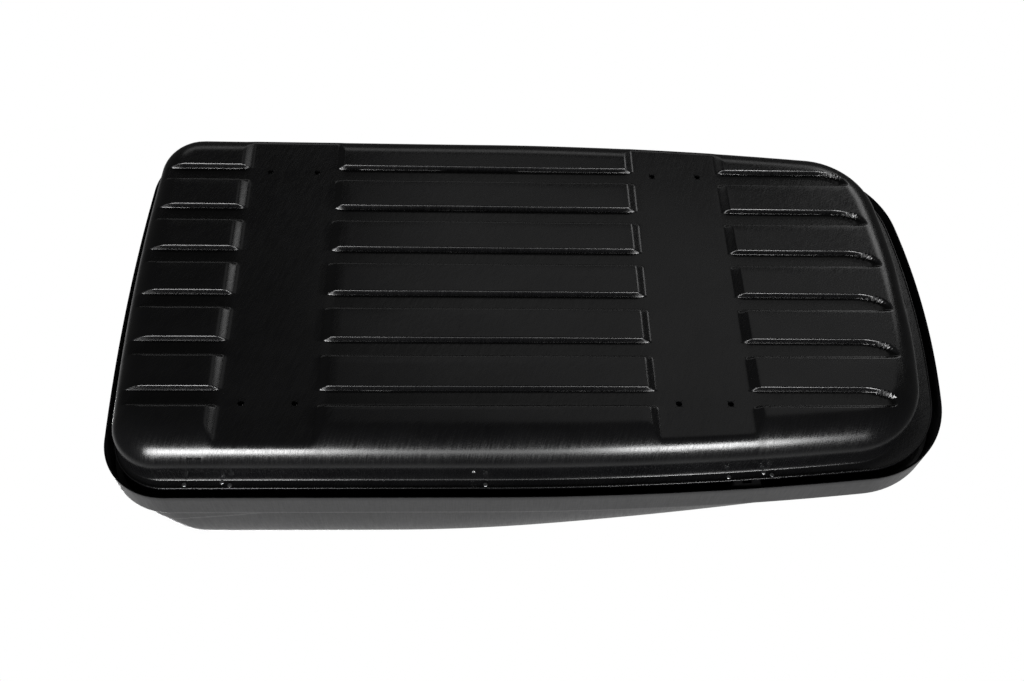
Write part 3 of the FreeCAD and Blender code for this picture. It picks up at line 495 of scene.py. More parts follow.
class Finish(Enum):
    """The finishes of the box, one for each material slot of the record."""

    # Thermoformed ABS sheet: near black, satin, scuffed from handling.
    TRAY = MouldedPlastic(
        "tray_abs_sheet", "070708", "0e0e0f", roughness=0.25, roughness_swing=0.06,
        pebble=1.5 * MM, pebble_depth=0.002 * MM, scratch_depth=0.003 * MM, scratch_turn=0.55,
    )
    # Embossed ABS sheet: charcoal with a fine pebble that softens every reflection.
    LID = MouldedPlastic(
        "lid_abs_sheet", "121213", "1a1a1b", roughness=0.36, roughness_swing=0.06, pebble=1.3 * MM,
        pebble_depth=0.05 * MM, scratch_depth=0.006 * MM, scratch_turn=0.1, bloom_size=120 * MM,
    )
    # Zinc plate with clear passivation: cool grey, slightly blotched.
    ZINC = PlatedMetal(
        "zinc_plated_steel", "8c8f90", "b9bbb6", roughness=0.34, streak=(1.5 * MM, 9 * MM, 9 * MM)
    )
    # Blind rivets in aluminium: pale and satin.
    RIVET = PlatedMetal(
        "rivet_aluminium", "a9aaab", "c9cacb", roughness=0.28, streak=(0.8 * MM,) * 3, mottle=3 * MM
    )
    # Black powder coat: orange-peel skin, half gloss.
    BLACK = MouldedPlastic(
        "black_powder_coat", "0b0b0c", "131314", roughness=0.38, roughness_swing=0.05,
        pebble=0.9 * MM, pebble_depth=0.03 * MM, bloom_size=20 * MM,
    )
    # Drawn aluminium bar: fine lines along its length.
    BAR = PlatedMetal(
        "drawn_aluminium", "a3a5a8", "c4c5c7", roughness=0.3,
        streak=(60 * MM, 1.0 * MM, 0.8 * MM), streak_depth=0.006 * MM,
    )
    # Satin chrome on the lock and the stay's rod.
    LOCK = PlatedMetal(
        "satin_chrome", "8f9194", "a9abae", roughness=0.22,
        streak=(0.8 * MM, 0.8 * MM, 5 * MM), mottle=6 * MM,
    )
    # Injection-moulded nylon: dull black.
    GUIDE = MouldedPlastic(
        "guide_nylon", "17171a", "222225", roughness=0.52, roughness_swing=0.05,
        pebble=0.8 * MM, pebble_depth=0.02 * MM, bloom_size=12 * MM,
    )


# Every fitting's name holds one of these words.
FINISH_WORDS: dict[Finish, tuple[str, ...]] = {
    Finish.ZINC: (
        "floor_rail", "hinge_nuts", "stay_tray_bracket", "stay_lid_bracket", "stay_tray_pin",
        "stay_lid_pin", "lock_nut", "lock_cam", "_keeper", "_hook",
    ),
    Finish.RIVET: ("hinge_rivets", "stay_tray_rivets", "hook_rivets", "keeper_rivets"),
    Finish.BLACK: (
        "hinge_tray_leaf", "hinge_lid_leaf", "hinge_pin", "hinge_screws", "stay_lid_rivets",
        "stay_tube", "guide_rivets",
    ),
    Finish.BAR: ("locking_bar",),
    Finish.LOCK: ("stay_rod", "lock_cylinder"),
    Finish.GUIDE: ("stay_gland", "lock_housing", "bar_guide"),
}


@dataclass
class FinishStore:
    """Builds each finish once and hands it out."""

    built: dict[Finish, bpy.types.Material] = field(default_factory=dict)

    def get(self, finish: Finish) -> bpy.types.Material:
        """Return a finish's material, made at its first use."""
        if finish not in self.built:
            self.built[finish] = finish.value.build()
        return self.built[finish]

    def dress(self, piece: bpy.types.Object, finish: Finish) -> None:
        """Put one finish all over a piece.

        Args:
            piece: the object to dress.
            finish: the finish it takes.
        """
        piece.data.materials.clear()
        piece.data.materials.append(self.get(finish))


# ---- base tray


@dataclass
class BaseTray:
    """The moulded tray: panels, cross-bar pads, grooves, rounded edge, wall, flange and clamp holes."""

    rim: RimOutline
    rim_ruler: RimRuler
    body: RimOutline
    body_ruler: RimRuler
    inset: float = 35 * MM
    wall: float = 3 * MM
    edge_radius: float = 60 * MM
    ruled_inset: float = 43 * MM
    flange_z: float = 100 * MM
    flange_width: float = 17 * MM
    recess: float = 12 * MM
    pads: tuple[float, float] = (-464 * MM, 286 * MM)
    pad_half: float = 82.5 * MM
    pad_slope: float = 16 * MM
    groove_pitch: float = 99.6 * MM
    groove_count: int = 6
    groove_half: float = 19 * MM
    groove_far_run: float = 2.6 * MM
    groove_near_run: float = 6.5 * MM
    groove_tip: float = 658 * MM
    groove_taper: float = 66 * MM
    clamp_pitch: float = 90.7 * MM
    clamp_half_span: float = 257.5 * MM
    clamp_radius: float = 5.5 * MM
    clamp_cell: float = 8 * MM
    sag: float = 1.0 * MM

    def groove_rows(self) -> list[float]:
        """Return the Y of each groove's centre line."""
        middle = (self.groove_count - 1) / 2
        return [(i - middle) * self.groove_pitch for i in range(self.groove_count)]

    def clamp_places(self) -> list[tuple[float, float]]:
        """Return the centres of the eight clamp holes."""
        return [
            (pad + side * self.clamp_pitch / 2, y)
            for pad in self.pads
            for side in (-1, 1)
            for y in (-self.clamp_half_span, self.clamp_half_span)
        ]

    @staticmethod
    def fill_lines(
        firm: list[float], soft: list[float], low: float, high: float, step: float
    ) -> list[float]:
        """Complete a set of ruling lines.

        Args:
            firm: lines that have to stay.
            soft: lines that give way to a firm one closer than 0.55 mm.
            low: where the ruling starts.
            high: where it ends.
            step: the widest gap left between two lines.

        Returns:
            The lines in order.
        """
        kept = list(firm)
        for line in sorted(soft):
            if low < line < high and all(abs(line - other) > 0.55 * MM for other in kept):
                kept.append(line)
        ordered = sorted(kept)
        lines = []
        for start, end in zip(ordered, ordered[1:]):
            pieces = max(1, math.ceil((end - start) / step))
            lines += [start + (end - start) * i / pieces for i in range(pieces)]
        return lines + ordered[-1:]

    def ruling_x(self) -> list[float]:
        """Return the X of each ruling line, close together where the floor bends."""
        firm = sorted({x + side * self.clamp_cell for x, _ in self.clamp_places() for side in (-1, 1)})
        soft = [
            pad + side * (self.pad_half + run * MM)
            for pad in self.pads
            for side in (-1, 1)
            for run in (-4, -1, 1, 3, 6, 9.5, 13, 15, 17, 20)
        ]
        for start, step, count in ((-731, 4.5, 17), (697, -4.3, 42), (664, -2.6, 28)):
            soft += [start * MM + line * step * MM for line in range(count)]
        return self.fill_lines(firm, soft, -733 * MM, 699 * MM, 15 * MM)

    def ruling_y(self) -> list[float]:
        """Return the Y of each ruling line, close together at the groove walls."""
        firm = sorted({y + side * self.clamp_cell for _, y in self.clamp_places() for side in (-1, 1)})
        soft: list[float] = []
        for row in self.groove_rows():
            far, near = row - self.groove_half, row + self.groove_half
            soft += [far + run * MM for run in (-2.6, -1.3, -0.6, 0.1, 0.8, 1.6, 2.3, 2.9, 3.6, 4.6)]
            soft += [far + (7.4 + 3.4 * step) * MM for step in range(7)]
            soft += [near - run * MM for run in (10, 7.8, 6.3, 4.4, 2.4, 0.8, -0.6, -2.6)]
        for line in range(0, 18):
            soft += [side * (276 + line * 4.4) * MM for side in (-1, 1)]
        return self.fill_lines(firm, soft, -351 * MM, 351 * MM, 17 * MM)

    def edge_height(self, inset: np.ndarray) -> np.ndarray:
        """Return the height of the rounded edge at an inset from the rim."""
        run = np.clip(self.inset + self.edge_radius - inset, 0.0, self.edge_radius)
        return self.edge_radius - np.sqrt(self.edge_radius**2 - run**2)

    def pad_share(self, x: np.ndarray) -> np.ndarray:
        """Return how far the floor is pressed in for the pads, from 0 to 1."""
        share = np.zeros_like(x)
        for pad in self.pads:
            reach = (self.pad_half + self.pad_slope - np.abs(x - pad)) / self.pad_slope
            share = np.maximum(share, pressed_step(reach))
        return share

    def groove_share(self, x: np.ndarray, y: np.ndarray) -> np.ndarray:
        """Return how far the floor is pressed in for the grooves, from 0 to 1.

        Args:
            x: positions along the box.
            y: positions across the box.

        Returns:
            One share for each position: a steep wall on one side, an easy one on the other,
            and at the nose a point where the steep wall sweeps across to the other.
        """
        wander = 0.5 * MM * gentle_noise(x, y, 150 * MM, 400 * MM, 3.7)
        share = np.zeros_like(x)
        for row in self.groove_rows():
            tip = self.groove_tip - row * row / (1.5 * self.body.nose_bow)
            along = np.clip((x - tip) / self.groove_taper + 1.0, 0.0, 1.0)
            sweep = 2 * self.groove_half * (1.0 - np.sqrt(1.0 - along**2))
            across = y - row + wander
            steep = pressed_step((across + self.groove_half - sweep) / self.groove_far_run, 0.42, 0.15)
            easy = pressed_step((self.groove_half - across) / self.groove_near_run)
            reach = smooth_step((tip + 6 * MM - x) / (30 * MM))
            share = np.maximum(share, np.minimum(steep, easy) * reach)
        return share

    def press(self, places: np.ndarray) -> np.ndarray:
        """Work out the underside's height over its plan.

        Args:
            places: rows (x, y).

        Returns:
            One height for each row.
        """
        x, y = places[:, 0], places[:, 1]
        insets, _ = self.body_ruler.measure(places)
        base = self.edge_height(insets)
        pad = self.pad_share(x)
        groove = self.groove_share(x, y)
        pressed = self.recess * (1.0 - (1.0 - pad) * (1.0 - groove))
        blend = np.minimum(3.0 * MM, 0.5 * base)
        overlap = np.maximum(blend - np.abs(base - pressed), 0.0)
        rounding = np.where(blend > 0, overlap**2 / np.maximum(4 * blend, 1e-9), 0.0)
        height = np.maximum(base, pressed) + rounding
        ripple = 0.5 + 0.5 * gentle_noise(x, y, 170 * MM, 95 * MM, 1.3)
        height = height + self.sag * ripple * (1.0 - pad) * (1.0 - 0.6 * groove)
        dent = np.exp(-(((y - 20 * MM) / (52 * MM)) ** 2) - ((x - 694 * MM) / (13 * MM)) ** 2)
        return height + 2.6 * MM * dent

    def rule_floor(self) -> bpy.types.Object:
        """Fill the floor's outline, rule it with bisects and press it into shape.

        Returns:
            The floor sheet, normals downwards.
        """
        points, outwards = self.body.sample(16 * MM, math.radians(5))
        ring = points - outwards * self.ruled_inset
        bpy.ops.mesh.primitive_circle_add(vertices=len(ring), radius=1.0, fill_type="NGON")
        floor = new_piece("moulded_tray")
        for vertex, (x, y) in zip(floor.data.vertices, ring):
            vertex.co = (x, y, 0.0)
        bpy.ops.object.mode_set(mode="EDIT")
        for axis, lines in ((Vector((1, 0, 0)), self.ruling_x()), (Vector((0, 1, 0)), self.ruling_y())):
            for line in lines:
                bpy.ops.mesh.select_all(action="SELECT")
                bpy.ops.mesh.bisect(plane_co=axis * line, plane_no=axis)
        bpy.ops.mesh.select_all(action="SELECT")
        bpy.ops.mesh.remove_doubles(threshold=0.35 * MM)
        bpy.ops.object.mode_set(mode="OBJECT")
        places = np.array([vertex.co[:2] for vertex in floor.data.vertices])
        for vertex, z in zip(floor.data.vertices, self.press(places)):
            vertex.co.z = z
        face_outwards(floor, Vector((0, 0, -1)))
        return floor

    def side_rows(self) -> list[tuple[float, float]]:
        """Return (inset, height) of each row from the ruled floor up the wall to the flange's root."""
        rows = []
        for degrees in (66, 72, 78, 84, 90):
            angle = math.radians(degrees)
            inwards = self.edge_radius * (1 - math.sin(angle))
            rows.append((self.inset + inwards, self.edge_radius * (1 - math.cos(angle))))
        bend = 3 * MM
        for z in (70, 82, 92):
            rows.append((self.inset, z * MM))
        for degrees in (0, 30, 60, 90):
            angle = math.radians(degrees)
            outwards = bend * (1 - math.cos(angle))
            rows.append((self.inset - outwards, self.flange_z - bend * (1 - math.sin(angle))))
        return rows

    def raise_sides(self, floor: bpy.types.Object) -> None:
        """Extrude the floor's edge row by row into the rounded edge, the wall and the flange.

        Args:
            floor: the ruled floor sheet.
        """
        select_only(floor)
        bpy.ops.object.mode_set(mode="EDIT")
        bpy.ops.mesh.select_mode(type="EDGE")
        bpy.ops.mesh.select_all(action="DESELECT")
        mesh = bmesh.from_edit_mesh(floor.data)
        for edge in mesh.edges:
            edge.select_set(edge.is_boundary)
        bmesh.update_edit_mesh(floor.data)
        for inset, z in self.side_rows():
            self.body_ruler.extrude_row(floor, inset, z)
        self.rim_ruler.extrude_row(floor, self.inset - self.flange_width, self.flange_z)
        bpy.ops.object.mode_set(mode="OBJECT")

    def punch_clamp_holes(self, floor: bpy.types.Object) -> None:
        """Open the round clamp holes in their ruled cells.

        Args:
            floor: the tray sheet.
        """
        select_only(floor)
        for x, y in self.clamp_places():
            centre = Vector((x, y, self.recess))
            reach = self.clamp_cell + 0.3 * MM
            bpy.ops.object.mode_set(mode="EDIT")
            bpy.ops.mesh.select_mode(type="FACE")
            bpy.ops.mesh.select_all(action="DESELECT")
            mesh = bmesh.from_edit_mesh(floor.data)
            for face in mesh.faces:
                corners = [vertex.co - centre for vertex in face.verts]
                face.select_set(all(max(abs(c.x), abs(c.y)) < reach for c in corners))
            bmesh.update_edit_mesh(floor.data)
            bpy.ops.mesh.dissolve_faces()
            mesh = bmesh.from_edit_mesh(floor.data)
            chosen = [face for face in mesh.faces if face.select]
            for edge in mesh.edges:
                edge.select_set(False)
            bpy.ops.mesh.select_mode(type="EDGE")
            mesh = bmesh.from_edit_mesh(floor.data)
            for face in chosen:
                for edge in face.edges:
                    edge.select_set(True)
            bpy.ops.mesh.subdivide(number_cuts=3)
            bpy.ops.mesh.select_all(action="DESELECT")
            bpy.ops.mesh.select_mode(type="FACE")
            mesh = bmesh.from_edit_mesh(floor.data)
            for face in mesh.faces:
                near = (face.calc_center_bounds() - centre).length < 2 * MM
                face.select_set(near and len(face.verts) > 8)
            bmesh.update_edit_mesh(floor.data)
            bpy.ops.mesh.inset(thickness=1.5 * MM)
            mesh = bmesh.from_edit_mesh(floor.data)
            hole = [face for face in mesh.faces if face.select]
            for face in hole:
                for vertex in face.verts:
                    way = Vector((vertex.co.x - x, vertex.co.y - y, 0.0)).normalized()
                    vertex.co = centre + way * self.clamp_radius
            bmesh.update_edit_mesh(floor.data)
            bpy.ops.mesh.delete(type="FACE")
            bpy.ops.object.mode_set(mode="OBJECT")

    def make_bead(self) -> bpy.types.Object:
        """Sweep the flange's rolled bead round the rim.

        Returns:
            The bead, a closed ring.
        """
        edge = self.inset - self.flange_width
        points, outwards = self.rim.sample(11 * MM)
        section = [(2.4, 3.2), (0.6, 3.3), (0.0, 2.7), (0.0, -0.9), (0.6, -1.5), (1.9, -1.5), (2.5, -0.9)]
        bpy.ops.mesh.primitive_circle_add(vertices=len(points), radius=1.0, fill_type="NOTHING")
        bead = new_piece("flange_bead")
        places = points - outwards * (edge + section[0][0] * MM)
        for vertex, (x, y) in zip(bead.data.vertices, places):
            vertex.co = (x, y, self.flange_z + section[0][1] * MM)
        bpy.ops.object.mode_set(mode="EDIT")
        bpy.ops.mesh.select_mode(type="VERT")
        bpy.ops.mesh.select_all(action="SELECT")
        for inset, rise in section[1:] + section[:1]:
            self.rim_ruler.extrude_row(bead, edge + inset * MM, self.flange_z + rise * MM)
        bpy.ops.mesh.select_all(action="SELECT")
        bpy.ops.mesh.remove_doubles(threshold=0.02 * MM)
        bpy.ops.mesh.normals_make_consistent(inside=False)
        bpy.ops.object.mode_set(mode="OBJECT")
        return bead

    def build(self, store: FinishStore) -> list[bpy.types.Object]:
        """Make and dress the tray.

        Args:
            store: where finishes come from.

        Returns:
            The tray and its flange bead.
        """
        tray = self.rule_floor()
        self.raise_sides(tray)
        face_outwards(tray, Vector((0, 0, -1)))
        self.punch_clamp_holes(tray)
        thicken(tray, self.wall)
        smooth(tray, 50)
        bead = self.make_bead()
        smooth(bead, 60)
        for piece in (tray, bead):
            store.dress(piece, Finish.TRAY)
            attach(piece, "tray")
        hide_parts("base_tray")
        return [tray, bead]


# ---- lid


@dataclass
class LidShell:
    """The moulded lid: skirt band, rounded step, dome with hinge pads and roof flutes."""

    outline: RimOutline
    ruler: RimRuler
    wall: float = 3.5 * MM
    edge_z: float = 99 * MM
    band_z: float = 164 * MM
    top_z: float = 392 * MM
    step: float = 14 * MM
    peak_x: float = -505 * MM
    nose_powers: tuple[float, float] = (1.08, 1.78)
    rear_powers: tuple[float, float] = (1.35, 2.4)
    side_powers: tuple[float, float] = (4.2, 4.0)
    pad_start_x: float = -446 * MM
    pad_rise: float = 3.0 * MM
    pad_height: float = 44 * MM
    flute_depth: float = 4.5 * MM
    flute_half: float = 27 * MM
    flute_spacing: float = 118 * MM
    swell: float = 0.5 * MM
    screw_bore: float = 6.4 * MM
    screw_face: float = 3.0 * MM
    rivet_bore: float = 4.6 * MM
    rivet_face: float = 1.5 * MM
    lock_bore: float = 14.2 * MM
    drill_length: float = 24 * MM
    lock_drill_length: float = 60 * MM

    def scales(self, share: float) -> tuple[float, float, float]:
        """Return the dome's nose, rear and side shrink at a share of its rise."""
        nose, rear, side = [
            (1.0 - share**rise) ** (1.0 / run)
            for rise, run in (self.nose_powers, self.rear_powers, self.side_powers)
        ]
        return nose, rear, side

    def dome_row(self, points: np.ndarray, outwards: np.ndarray, share: float, fillet: float) -> np.ndarray:
        """Place one row of the dome.

        Args:
            points: the rim's points.
            outwards: their outward directions.
            share: share of the dome's rise.
            fillet: how far the row stands out into the fillet at the dome's foot.

        Returns:
            Rows (x, y, z).
        """
        nose, rear, side = self.scales(share)
        ring = points - outwards * (self.step - fillet)
        along = np.where(ring[:, 0] > self.peak_x, nose, rear)
        x = self.peak_x + (ring[:, 0] - self.peak_x) * along
        z = np.full(len(ring), self.band_z + share * (self.top_z - self.band_z))
        return np.column_stack([x, ring[:, 1] * side, z])

    def rows(self, points: np.ndarray, outwards: np.ndarray) -> list[np.ndarray]:
        """Place every row of the lid from the skirt's edge to the crown.

        Args:
            points: the rim's points.
            outwards: their outward directions.

        Returns:
            A list of rows, each rows (x, y, z).
        """
        made = []
        round_over = 5 * MM
        skirt = [(0.7, 0.0), (0.15, 0.35), (0.0, 1.0), (0.0, 12), (0.0, 26), (0.0, 42), (0.0, 55)]
        flat = [(inset * MM, self.edge_z + rise * MM) for inset, rise in skirt]
        for degrees in (0, 22, 45, 68, 90):
            angle = math.radians(degrees)
            below = round_over * (1 - math.sin(angle))
            flat.append((round_over * (1 - math.cos(angle)), self.band_z - below))
        for inset, z in flat:
            ring = points - outwards * inset
            made.append(np.column_stack([ring, np.full(len(ring), z)]))
        foot = 6 * MM
        rise = self.top_z - self.band_z
        heights = [0.0, 0.4, 1.2, 2.6, 4.2, 6.0] + [10 + 3.6 * i for i in range(17)]
        for height in heights:
            left = max(0.0, foot - height * MM)
            fillet = foot - math.sqrt(foot**2 - left**2)
            made.append(self.dome_row(points, outwards, height * MM / rise, fillet))
        start = self.scales(heights[-1] * MM / rise)[0]
        count = 44
        for i in range(1, count + 1):
            nose = start + (0.035 - start) * i / count
            share = (1.0 - nose ** self.nose_powers[1]) ** (1.0 / self.nose_powers[0])
            made.append(self.dome_row(points, outwards, share, 0.0))
        crown = made[-1]
        centre = crown.mean(0)
        for keep, lift in ((0.7, 0.25), (0.4, 0.4), (0.15, 0.45)):
            ring = centre + (crown - centre) * keep
            ring[:, 2] = crown[:, 2] + lift * MM
            made.append(ring)
        return made

    def relief(self, places: np.ndarray) -> np.ndarray:
        """Work out how far the lid's skin stands out from its plain form.

        Args:
            places: rows (x, y, z).

        Returns:
            The outward offset of each row.
        """
        x, y, z = places.T
        run = np.clip((self.pad_start_x - x) / (150 * MM), 0.0, 1.6)
        line = self.band_z + self.pad_height * np.sqrt(run)
        below = smooth_step((line - z) / (3.2 * MM) + 0.5)
        side = smooth_step((np.abs(y) - 150 * MM) / (60 * MM))
        pad = self.pad_rise * below * side * (z > self.band_z + 0.5 * MM)
        flutes = np.zeros_like(x)
        reach = smooth_step((x + 640 * MM) / (110 * MM)) * smooth_step((430 * MM - x) / (200 * MM))
        for centre in (0.0, self.flute_spacing):
            line_y = centre * (1.0 - 0.22 * (x + 400 * MM))
            across = np.clip(1.0 - ((np.abs(y) - line_y) / self.flute_half) ** 2, 0.0, 1.0)
            flutes = np.maximum(flutes, across**2 * (3 - 2 * across))
        high = smooth_step((z - self.band_z - 70 * MM) / (40 * MM))
        swell = self.swell * gentle_noise(x, y, 260 * MM, 200 * MM, 8.1)
        swell = swell * smooth_step((z - self.band_z) / (60 * MM))
        return pad - self.flute_depth * flutes * reach * high + swell

    def build_skin(self) -> bpy.types.Object:
        """Extrude the rim row by row into the lid's outer skin.

        Returns:
            The open shell, normals outwards.
        """
        points, outwards = self.outline.sample(11 * MM)
        rows = self.rows(points, outwards)
        grid = np.array(rows)
        along = np.roll(grid, -1, axis=1) - np.roll(grid, 1, axis=1)
        up = np.gradient(grid, axis=0)
        normals = np.cross(along, up)
        normals /= np.maximum(np.linalg.norm(normals, axis=2, keepdims=True), 1e-12)
        offsets = self.relief(grid.reshape(-1, 3)).reshape(grid.shape[:2])
        grid = grid + normals * offsets[:, :, None]
        bpy.ops.mesh.primitive_circle_add(vertices=len(points), radius=1.0, fill_type="NOTHING")
        skin = new_piece("moulded_lid")
        for vertex, place in zip(skin.data.vertices, grid[0]):
            vertex.co = place
        bpy.ops.object.mode_set(mode="EDIT")
        bpy.ops.mesh.select_mode(type="VERT")
        bpy.ops.mesh.select_all(action="SELECT")
        for row in grid[1:]:
            bpy.ops.mesh.extrude_region_move(TRANSFORM_OT_translate={"value": (0, 0, 0)})
            mesh = bmesh.from_edit_mesh(skin.data)
            chosen = [vertex for vertex in mesh.verts if vertex.select]
            chosen.sort(key=lambda vertex: vertex.index)
            for vertex, place in zip(chosen, row):
                vertex.co = place
            bmesh.update_edit_mesh(skin.data)
        bpy.ops.mesh.merge(type="CENTER")
        bpy.ops.object.mode_set(mode="OBJECT")
        face_outwards(skin, Vector((0, 0, 1)))
        return skin

    def cut_holes(self, lid: bpy.types.Object) -> None:
        """Cut the counterbores of the hinge screws and rivets and the lock's hole.

        Args:
            lid: the thick lid.
        """
        drills = []
        fasteners = (
            ("hinge_screws", self.screw_bore, self.screw_face, 1.2 * MM),
            ("guide_rivets", self.rivet_bore, self.rivet_face, 1.0 * MM),
        )
        for node, radius, head, deep in fasteners:
            for centre, low, high in self.separate_boxes(node):
                outer = high.y if centre.y > 0 else low.y
                side = 1 if centre.y > 0 else -1
                y = outer - side * head + side * (self.drill_length / 2 - deep * 0.1)
                drills.append((Vector((centre.x, y, centre.z)), radius, self.drill_length, 32))
        lock_low, lock_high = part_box("lock_housing")
        drills.append(((lock_low + lock_high) / 2, self.lock_bore, self.lock_drill_length, 48))
        turn = (math.pi / 2, 0, 0)
        for place, radius, depth, sides in drills:
            bpy.ops.mesh.primitive_cylinder_add(
                vertices=sides, radius=radius, depth=depth, location=place, rotation=turn
            )
        cutters = [o for o in bpy.context.scene.objects if o.name.startswith("Cylinder")]
        select_only(cutters[0])
        for cutter in cutters:
            cutter.select_set(True)
        bpy.ops.object.join()
        cutter = bpy.context.active_object
        bpy.ops.object.transform_apply(location=True, rotation=True, scale=True)
        holes = lid.modifiers.new("holes", "BOOLEAN")
        holes.operation = "DIFFERENCE"
        holes.solver = "EXACT"
        holes.object = cutter
        apply_all(lid)
        bpy.data.objects.remove(cutter)

    @staticmethod
    def separate_boxes(node: str) -> list[tuple[Vector, Vector, Vector]]:
        """Find each loose part of a fastener node.

        Args:
            node: the node's name.

        Returns:
            (centre, lowest corner, highest corner) of each part.
        """
        spots = np.array([vertex.co for vertex in frame["nodes"][node].data.vertices])
        spots = spots[np.argsort(spots[:, 0])]
        gaps = np.flatnonzero(np.diff(spots[:, 0]) > 6 * MM) + 1
        boxes = []
        for part in np.split(spots, gaps):
            low, high = Vector(part.min(0)), Vector(part.max(0))
            boxes.append(((low + high) / 2, low, high))
        return boxes

    def build(self, store: FinishStore) -> list[bpy.types.Object]:
        """Make and dress the lid.

        Args:
            store: where finishes come from.

        Returns:
            The lid's pieces.
        """
        lid = self.build_skin()
        thicken(lid, self.wall)
        self.cut_holes(lid)
        smooth(lid, 42)
        store.dress(lid, Finish.LID)
        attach(lid, "lid")
        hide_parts("lid_shell")
        return [lid]


# ---- studio


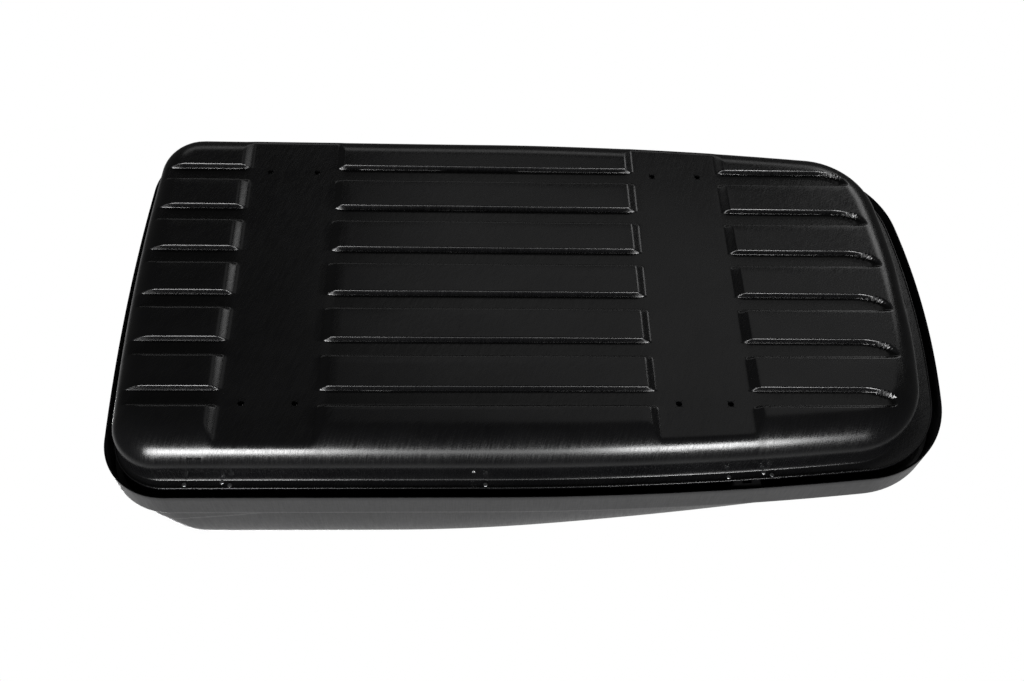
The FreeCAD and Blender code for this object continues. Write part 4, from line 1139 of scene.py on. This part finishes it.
@dataclass
class Studio:
    """Pale floor, soft lights and the camera."""

    floor_drop: float = 0.5 * MM
    floor_size: float = 40.0
    camera_place: tuple[float, float, float] = (-137.9 * MM, 1148.1 * MM, -1596.0 * MM)
    camera_right: tuple[float, float, float] = (0.99882, 0.02172, -0.04341)
    camera_down: tuple[float, float, float] = (0.00488, 0.84483, 0.53501)
    lens: float = 37.63
    below_light: float = 0.05
    above_light: float = 0.60
    glow_start: float = 0.45
    glow_full: float = 0.85
    softboxes: tuple[tuple[str, tuple[float, float, float], tuple[float, float], float], ...] = (
        ("hinge_side_rear_softbox", (-1.07, 2.35, -0.60), (0.92, 0.65), 52.0),
        ("hinge_side_nose_softbox", (0.92, 2.35, -0.60), (0.68, 0.65), 36.0),
        ("hinge_side_fill", (0.0, 2.6, -0.65), (3.6, 0.5), 20.0),
        ("lock_side_panel", (0.9, -2.1, -3.4), (3.4, 1.6), 5.0),
        ("lock_side_strip", (0.0, -3.0, -1.3), (4.5, 0.8), 8.0),
        ("nose_softbox", (2.0, -1.8, -1.3), (1.3, 0.7), 7.0),
        ("overhead_softbox", (-0.8, -1.4, 3.2), (2.8, 1.6), 170.0),
    )

    def lay_floor(self) -> bpy.types.Object:
        """Lay a pale floor that shows only from above, so that the underside can be looked at.

        Returns:
            The floor.
        """
        bpy.ops.mesh.primitive_plane_add(size=self.floor_size, location=(0, 0, 0))
        floor = new_piece("pale_floor")
        for vertex in floor.data.vertices:
            vertex.co.z = -self.floor_drop
        material, tree, shader = new_material("pale_floor_paint")
        shader.inputs["Base Color"].default_value = linear("f0f0ee")
        shader.inputs["Roughness"].default_value = 0.9
        clear = add_node(tree, "ShaderNodeBsdfTransparent")
        back = add_node(tree, "ShaderNodeNewGeometry").outputs["Backfacing"]
        mixed = add_node(tree, "ShaderNodeMixShader", {0: back, 1: shader.outputs[0], 2: clear.outputs[0]})
        output = next(node for node in tree.nodes if node.type == "OUTPUT_MATERIAL")
        tree.links.new(mixed.outputs[0], output.inputs["Surface"])
        floor.data.materials.append(material)
        floor.visible_diffuse = False
        floor.visible_glossy = False
        floor.visible_transmission = False
        floor.visible_shadow = False
        return floor

    def light_sky(self) -> None:
        """Set a surround that shows white and lights softly from overhead."""
        world = bpy.data.worlds.new("studio_surround")
        world.use_nodes = True
        bpy.context.scene.world = world
        tree = world.node_tree
        tree.nodes.clear()
        way = add_node(tree, "ShaderNodeTexCoord").outputs["Generated"]
        height = add_node(tree, "ShaderNodeSeparateXYZ", {"Vector": way}).outputs["Z"]
        rise = {"Value": height, "From Min": self.glow_start, "From Max": self.glow_full}
        rise |= {"To Min": self.below_light, "To Max": self.above_light}
        level = add_node(tree, "ShaderNodeMapRange", rise).outputs["Result"]
        soft = add_node(tree, "ShaderNodeBackground", {"Color": linear("ffffff"), "Strength": level})
        white = add_node(tree, "ShaderNodeBackground", {"Color": linear("ffffff"), "Strength": 1.0})
        seen = add_node(tree, "ShaderNodeLightPath").outputs["Is Camera Ray"]
        mixed = add_node(tree, "ShaderNodeMixShader", {0: seen, 1: soft.outputs[0], 2: white.outputs[0]})
        add_node(tree, "ShaderNodeOutputWorld", {"Surface": mixed.outputs[0]})

    @staticmethod
    def hang_softbox(
        name: str, place: tuple[float, float, float], size: tuple[float, float], watts: float
    ) -> None:
        """Hang one rectangular softbox that faces the box's middle.

        Args:
            name: the light's name.
            place: where it hangs.
            size: its width and height.
            watts: its power.
        """
        data = bpy.data.lights.new(name, "AREA")
        data.shape = "RECTANGLE"
        data.size, data.size_y = size
        data.energy = watts
        lamp = bpy.data.objects.new(name, data)
        bpy.context.scene.collection.objects.link(lamp)
        lamp.location = place
        aim = Vector((0.0, 0.0, 0.15)) - Vector(place)
        lamp.rotation_euler = aim.to_track_quat("-Z", "Y").to_euler()

    def set_camera(self) -> bpy.types.Object:
        """Place the camera.

        Returns:
            The camera.
        """
        data = bpy.data.cameras.new("camera")
        data.lens = self.lens
        data.sensor_width = 36.0
        data.clip_start, data.clip_end = 0.05, 100.0
        camera = bpy.data.objects.new("camera", data)
        bpy.context.scene.collection.objects.link(camera)
        right = Vector(self.camera_right).normalized()
        up = -Vector(self.camera_down).normalized()
        back = right.cross(up).normalized()
        up = back.cross(right)
        turn = Matrix((right, up, back)).transposed().to_4x4()
        camera.matrix_world = Matrix.Translation(Vector(self.camera_place)) @ turn
        bpy.context.scene.camera = camera
        return camera

    def build(self) -> None:
        """Set up the whole studio."""
        self.lay_floor()
        self.light_sky()
        self.set_camera()
        for softbox in self.softboxes:
            self.hang_softbox(*softbox)
        bpy.context.scene.view_settings.view_transform = "Standard"


# ---- assembly


@dataclass
class Fittings:
    """The metal and plastic fittings that keep their CAD form."""

    replaced: tuple[str, ...] = ("base_tray", "lid_shell")

    def finish_for(self, node: str) -> Finish:
        """Return the finish of a node by its name."""
        return next(
            finish for finish, words in FINISH_WORDS.items() if any(word in node for word in words)
        )

    def build(self, store: FinishStore) -> int:
        """Dress every fitting.

        Args:
            store: where finishes come from.

        Returns:
            The number of fittings dressed.
        """
        count = 0
        for name, piece in frame["nodes"].items():
            if name not in self.replaced:
                store.dress(piece, self.finish_for(name))
                count += 1
        return count


def main() -> None:
    """Build the box, dress it and set up the studio."""
    logging.basicConfig(level=logging.INFO, format="%(name)s: %(message)s")
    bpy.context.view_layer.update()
    low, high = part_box("lid_shell")
    outline = RimOutline((high.x - low.x) / 2, (high.y - low.y) / 2)
    ruler = RimRuler(outline)
    store = FinishStore()
    body = replace(outline, nose_gap=25 * MM, rear_gap=-9 * MM)
    for group in (BaseTray(outline, ruler, body, RimRuler(body)), LidShell(outline, ruler)):
        for piece in group.build(store):
            log.info("%s: %d faces", piece.name, len(piece.data.polygons))
    log.info("fittings dressed: %d", Fittings().build(store))
    Studio().build()


if __name__ == "__main__":
    main()
